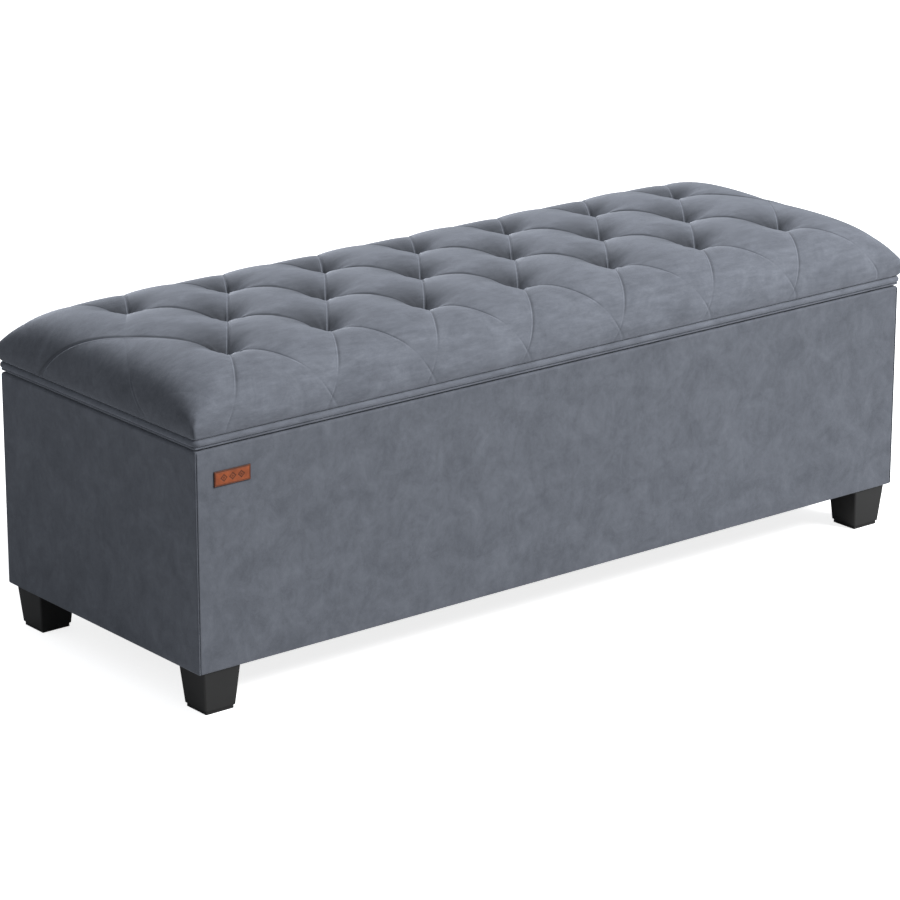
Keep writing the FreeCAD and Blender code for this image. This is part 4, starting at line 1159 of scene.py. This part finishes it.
# For each slot its dark grey, light grey, roughness and the scale of its texture.
MOULDINGS = {
    "foot_plastic": (0.013, 0.017, 0.40, 1300),
    "glide_plastic": (0.010, 0.014, 0.5, 900),
    "strut_paint": (0.010, 0.014, 0.3, 700),
    "toggle_plastic": (0.030, 0.045, 0.45, 900),
    "bumper_rubber": (0.012, 0.018, 0.7, 600),
}

# For each slot its dark and light colour, roughness and the scale of its marks.
PLATINGS = {
    "zinc_steel": ((0.42, 0.41, 0.37), (0.62, 0.61, 0.57), 0.32, (400, 90, 400)),
    "hinge_steel": ((0.36, 0.36, 0.35), (0.55, 0.55, 0.54), 0.34, (60, 700, 700)),
    "strut_chrome": (grey(0.60), grey(0.72), 0.08, (500, 500, 500)),
}


def finish_nodes():
    """Gives every CAD node that stays in view the finish of its material slot."""
    finishes = {slot: moulded(slot, *look) for slot, look in MOULDINGS.items()}
    finishes |= {slot: brushed(slot, *look) for slot, look in PLATINGS.items()}
    others = {"board": chipboard, "block_wood": plain_wood, "foam": foam, "twine": twisted}
    finishes |= {slot: finish(slot) for slot, finish in others.items()}
    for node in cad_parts.values():
        slot_name = node.material_slots[0].material.name.split(".")[0]
        if slot_name in finishes and not node.hide_render:
            node.material_slots[0].material = finishes[slot_name]


# --- studio ---

# Chosen so that the bench's corners fall where the photograph shows them.
CAMERA_TARGET = Vector((-0.02566, 0, 0.16560))
CAMERA_AZIMUTH = math.radians(-38.76)
CAMERA_ELEVATION = math.radians(18.05)
CAMERA_DISTANCE = 4.7614
CAMERA_LENS = 154.4


def camera():
    data = bpy.data.cameras.new("camera")
    data.lens = CAMERA_LENS
    data.sensor_width = 36
    data.clip_end = 100
    seen = link("camera", data)
    level = math.cos(CAMERA_ELEVATION)
    back_x, back_y = math.sin(CAMERA_AZIMUTH) * level, -math.cos(CAMERA_AZIMUTH) * level
    back = Vector((back_x, back_y, math.sin(CAMERA_ELEVATION)))
    seen.location = CAMERA_TARGET + back * CAMERA_DISTANCE
    seen.rotation_euler = back.to_track_quat("Z", "Y").to_euler()
    bpy.context.scene.camera = seen


def softbox(name, place, target, width, height, power):
    data = bpy.data.lights.new(name, "AREA")
    data.shape = "RECTANGLE"
    data.size = width
    data.size_y = height
    data.energy = power
    lamp = link(name, data)
    lamp.location = place
    facing = Vector(place) - Vector(target)
    lamp.rotation_euler = facing.to_track_quat("Z", "Y").to_euler()


def seen_and_cast(tree, seen, cast, output):
    """Shows one shader node to the camera and lights the object with the other."""
    path = tree.nodes.new("ShaderNodeLightPath")
    mix = tree.nodes.new("ShaderNodeMixShader")
    tree.links.new(path.outputs["Is Camera Ray"], mix.inputs["Fac"])
    tree.links.new(cast.outputs[0], mix.inputs[1])
    tree.links.new(seen.outputs[0], mix.inputs[2])
    tree.links.new(mix.outputs["Shader"], tree.nodes[output].inputs["Surface"])


def studio():
    world = bpy.data.worlds.new("studio")
    bpy.context.scene.world = world
    world.use_nodes = True
    tree = world.node_tree
    backdrop = tree.nodes["Background"]
    backdrop.inputs["Color"].default_value = (1, 1, 1, 1)
    ambient = tree.nodes.new("ShaderNodeBackground")
    ambient.inputs["Color"].default_value = (0.93, 0.96, 1.0, 1)
    ambient.inputs["Strength"].default_value = 0.42
    seen_and_cast(tree, backdrop, ambient, "World Output")
    softbox("front_fill", (2.1, -3.1, 3.3), (0.1, 0, 0.25), width=2.2, height=1.8, power=305)
    softbox("key", (1.3, 0.35, 3.2), (0.1, 0, 0.3), width=2.0, height=1.6, power=10)
    far = 30
    corners = [(-far, -far, 0), (far, -far, 0), (far, far, 0), (-far, far, 0)]
    floor = mesh_object("floor", corners, [(0, 1, 2, 3)])
    shader = Shader("floor")
    tone = shader.two_tone(shader.noise(3, 2), grey(0.95), grey(0.97))
    shader.set(Roughness=0.9, Specular_IOR_Level=0.0)
    shader.set(Emission_Color=(1, 1, 1, 1), Emission_Strength=0.8)
    shader.finish(tone)
    dull = shader.tree.nodes.new("ShaderNodeBsdfDiffuse")
    dull.inputs["Color"].default_value = (*grey(0.50), 1)
    seen_and_cast(shader.tree, shader.surface, dull, "Material Output")
    paint(floor, shader.material)
    bpy.context.scene.view_settings.view_transform = "Standard"


camera()
studio()
# The lid's velvet is painted lighter, as painted light from above.
cushion_velvet_painted_lighter = velvet(
    "cushion_velvet_painted_lighter", tone=1.12, patch_scale=20, streak_scale=(30, 110, 110), streak_depth=0.14
)
tufted_cushion(cushion_velvet_painted_lighter)
tie_cords(twisted("tie_twine"))
welt(cushion_velvet_painted_lighter)
# The box's velvet is the same cloth painted darker, as painted shade.
box_velvet_painted_darker = velvet(
    "box_velvet_painted_darker", tone=0.94, patch_scale=28, streak_scale=(70, 70, 45), streak_depth=0.09
)
box_covers(box_velvet_painted_darker)
lid_edge(cushion_velvet_painted_lighter)
linings()
leather_tag(leather("tag_leather"))
finish_nodes()
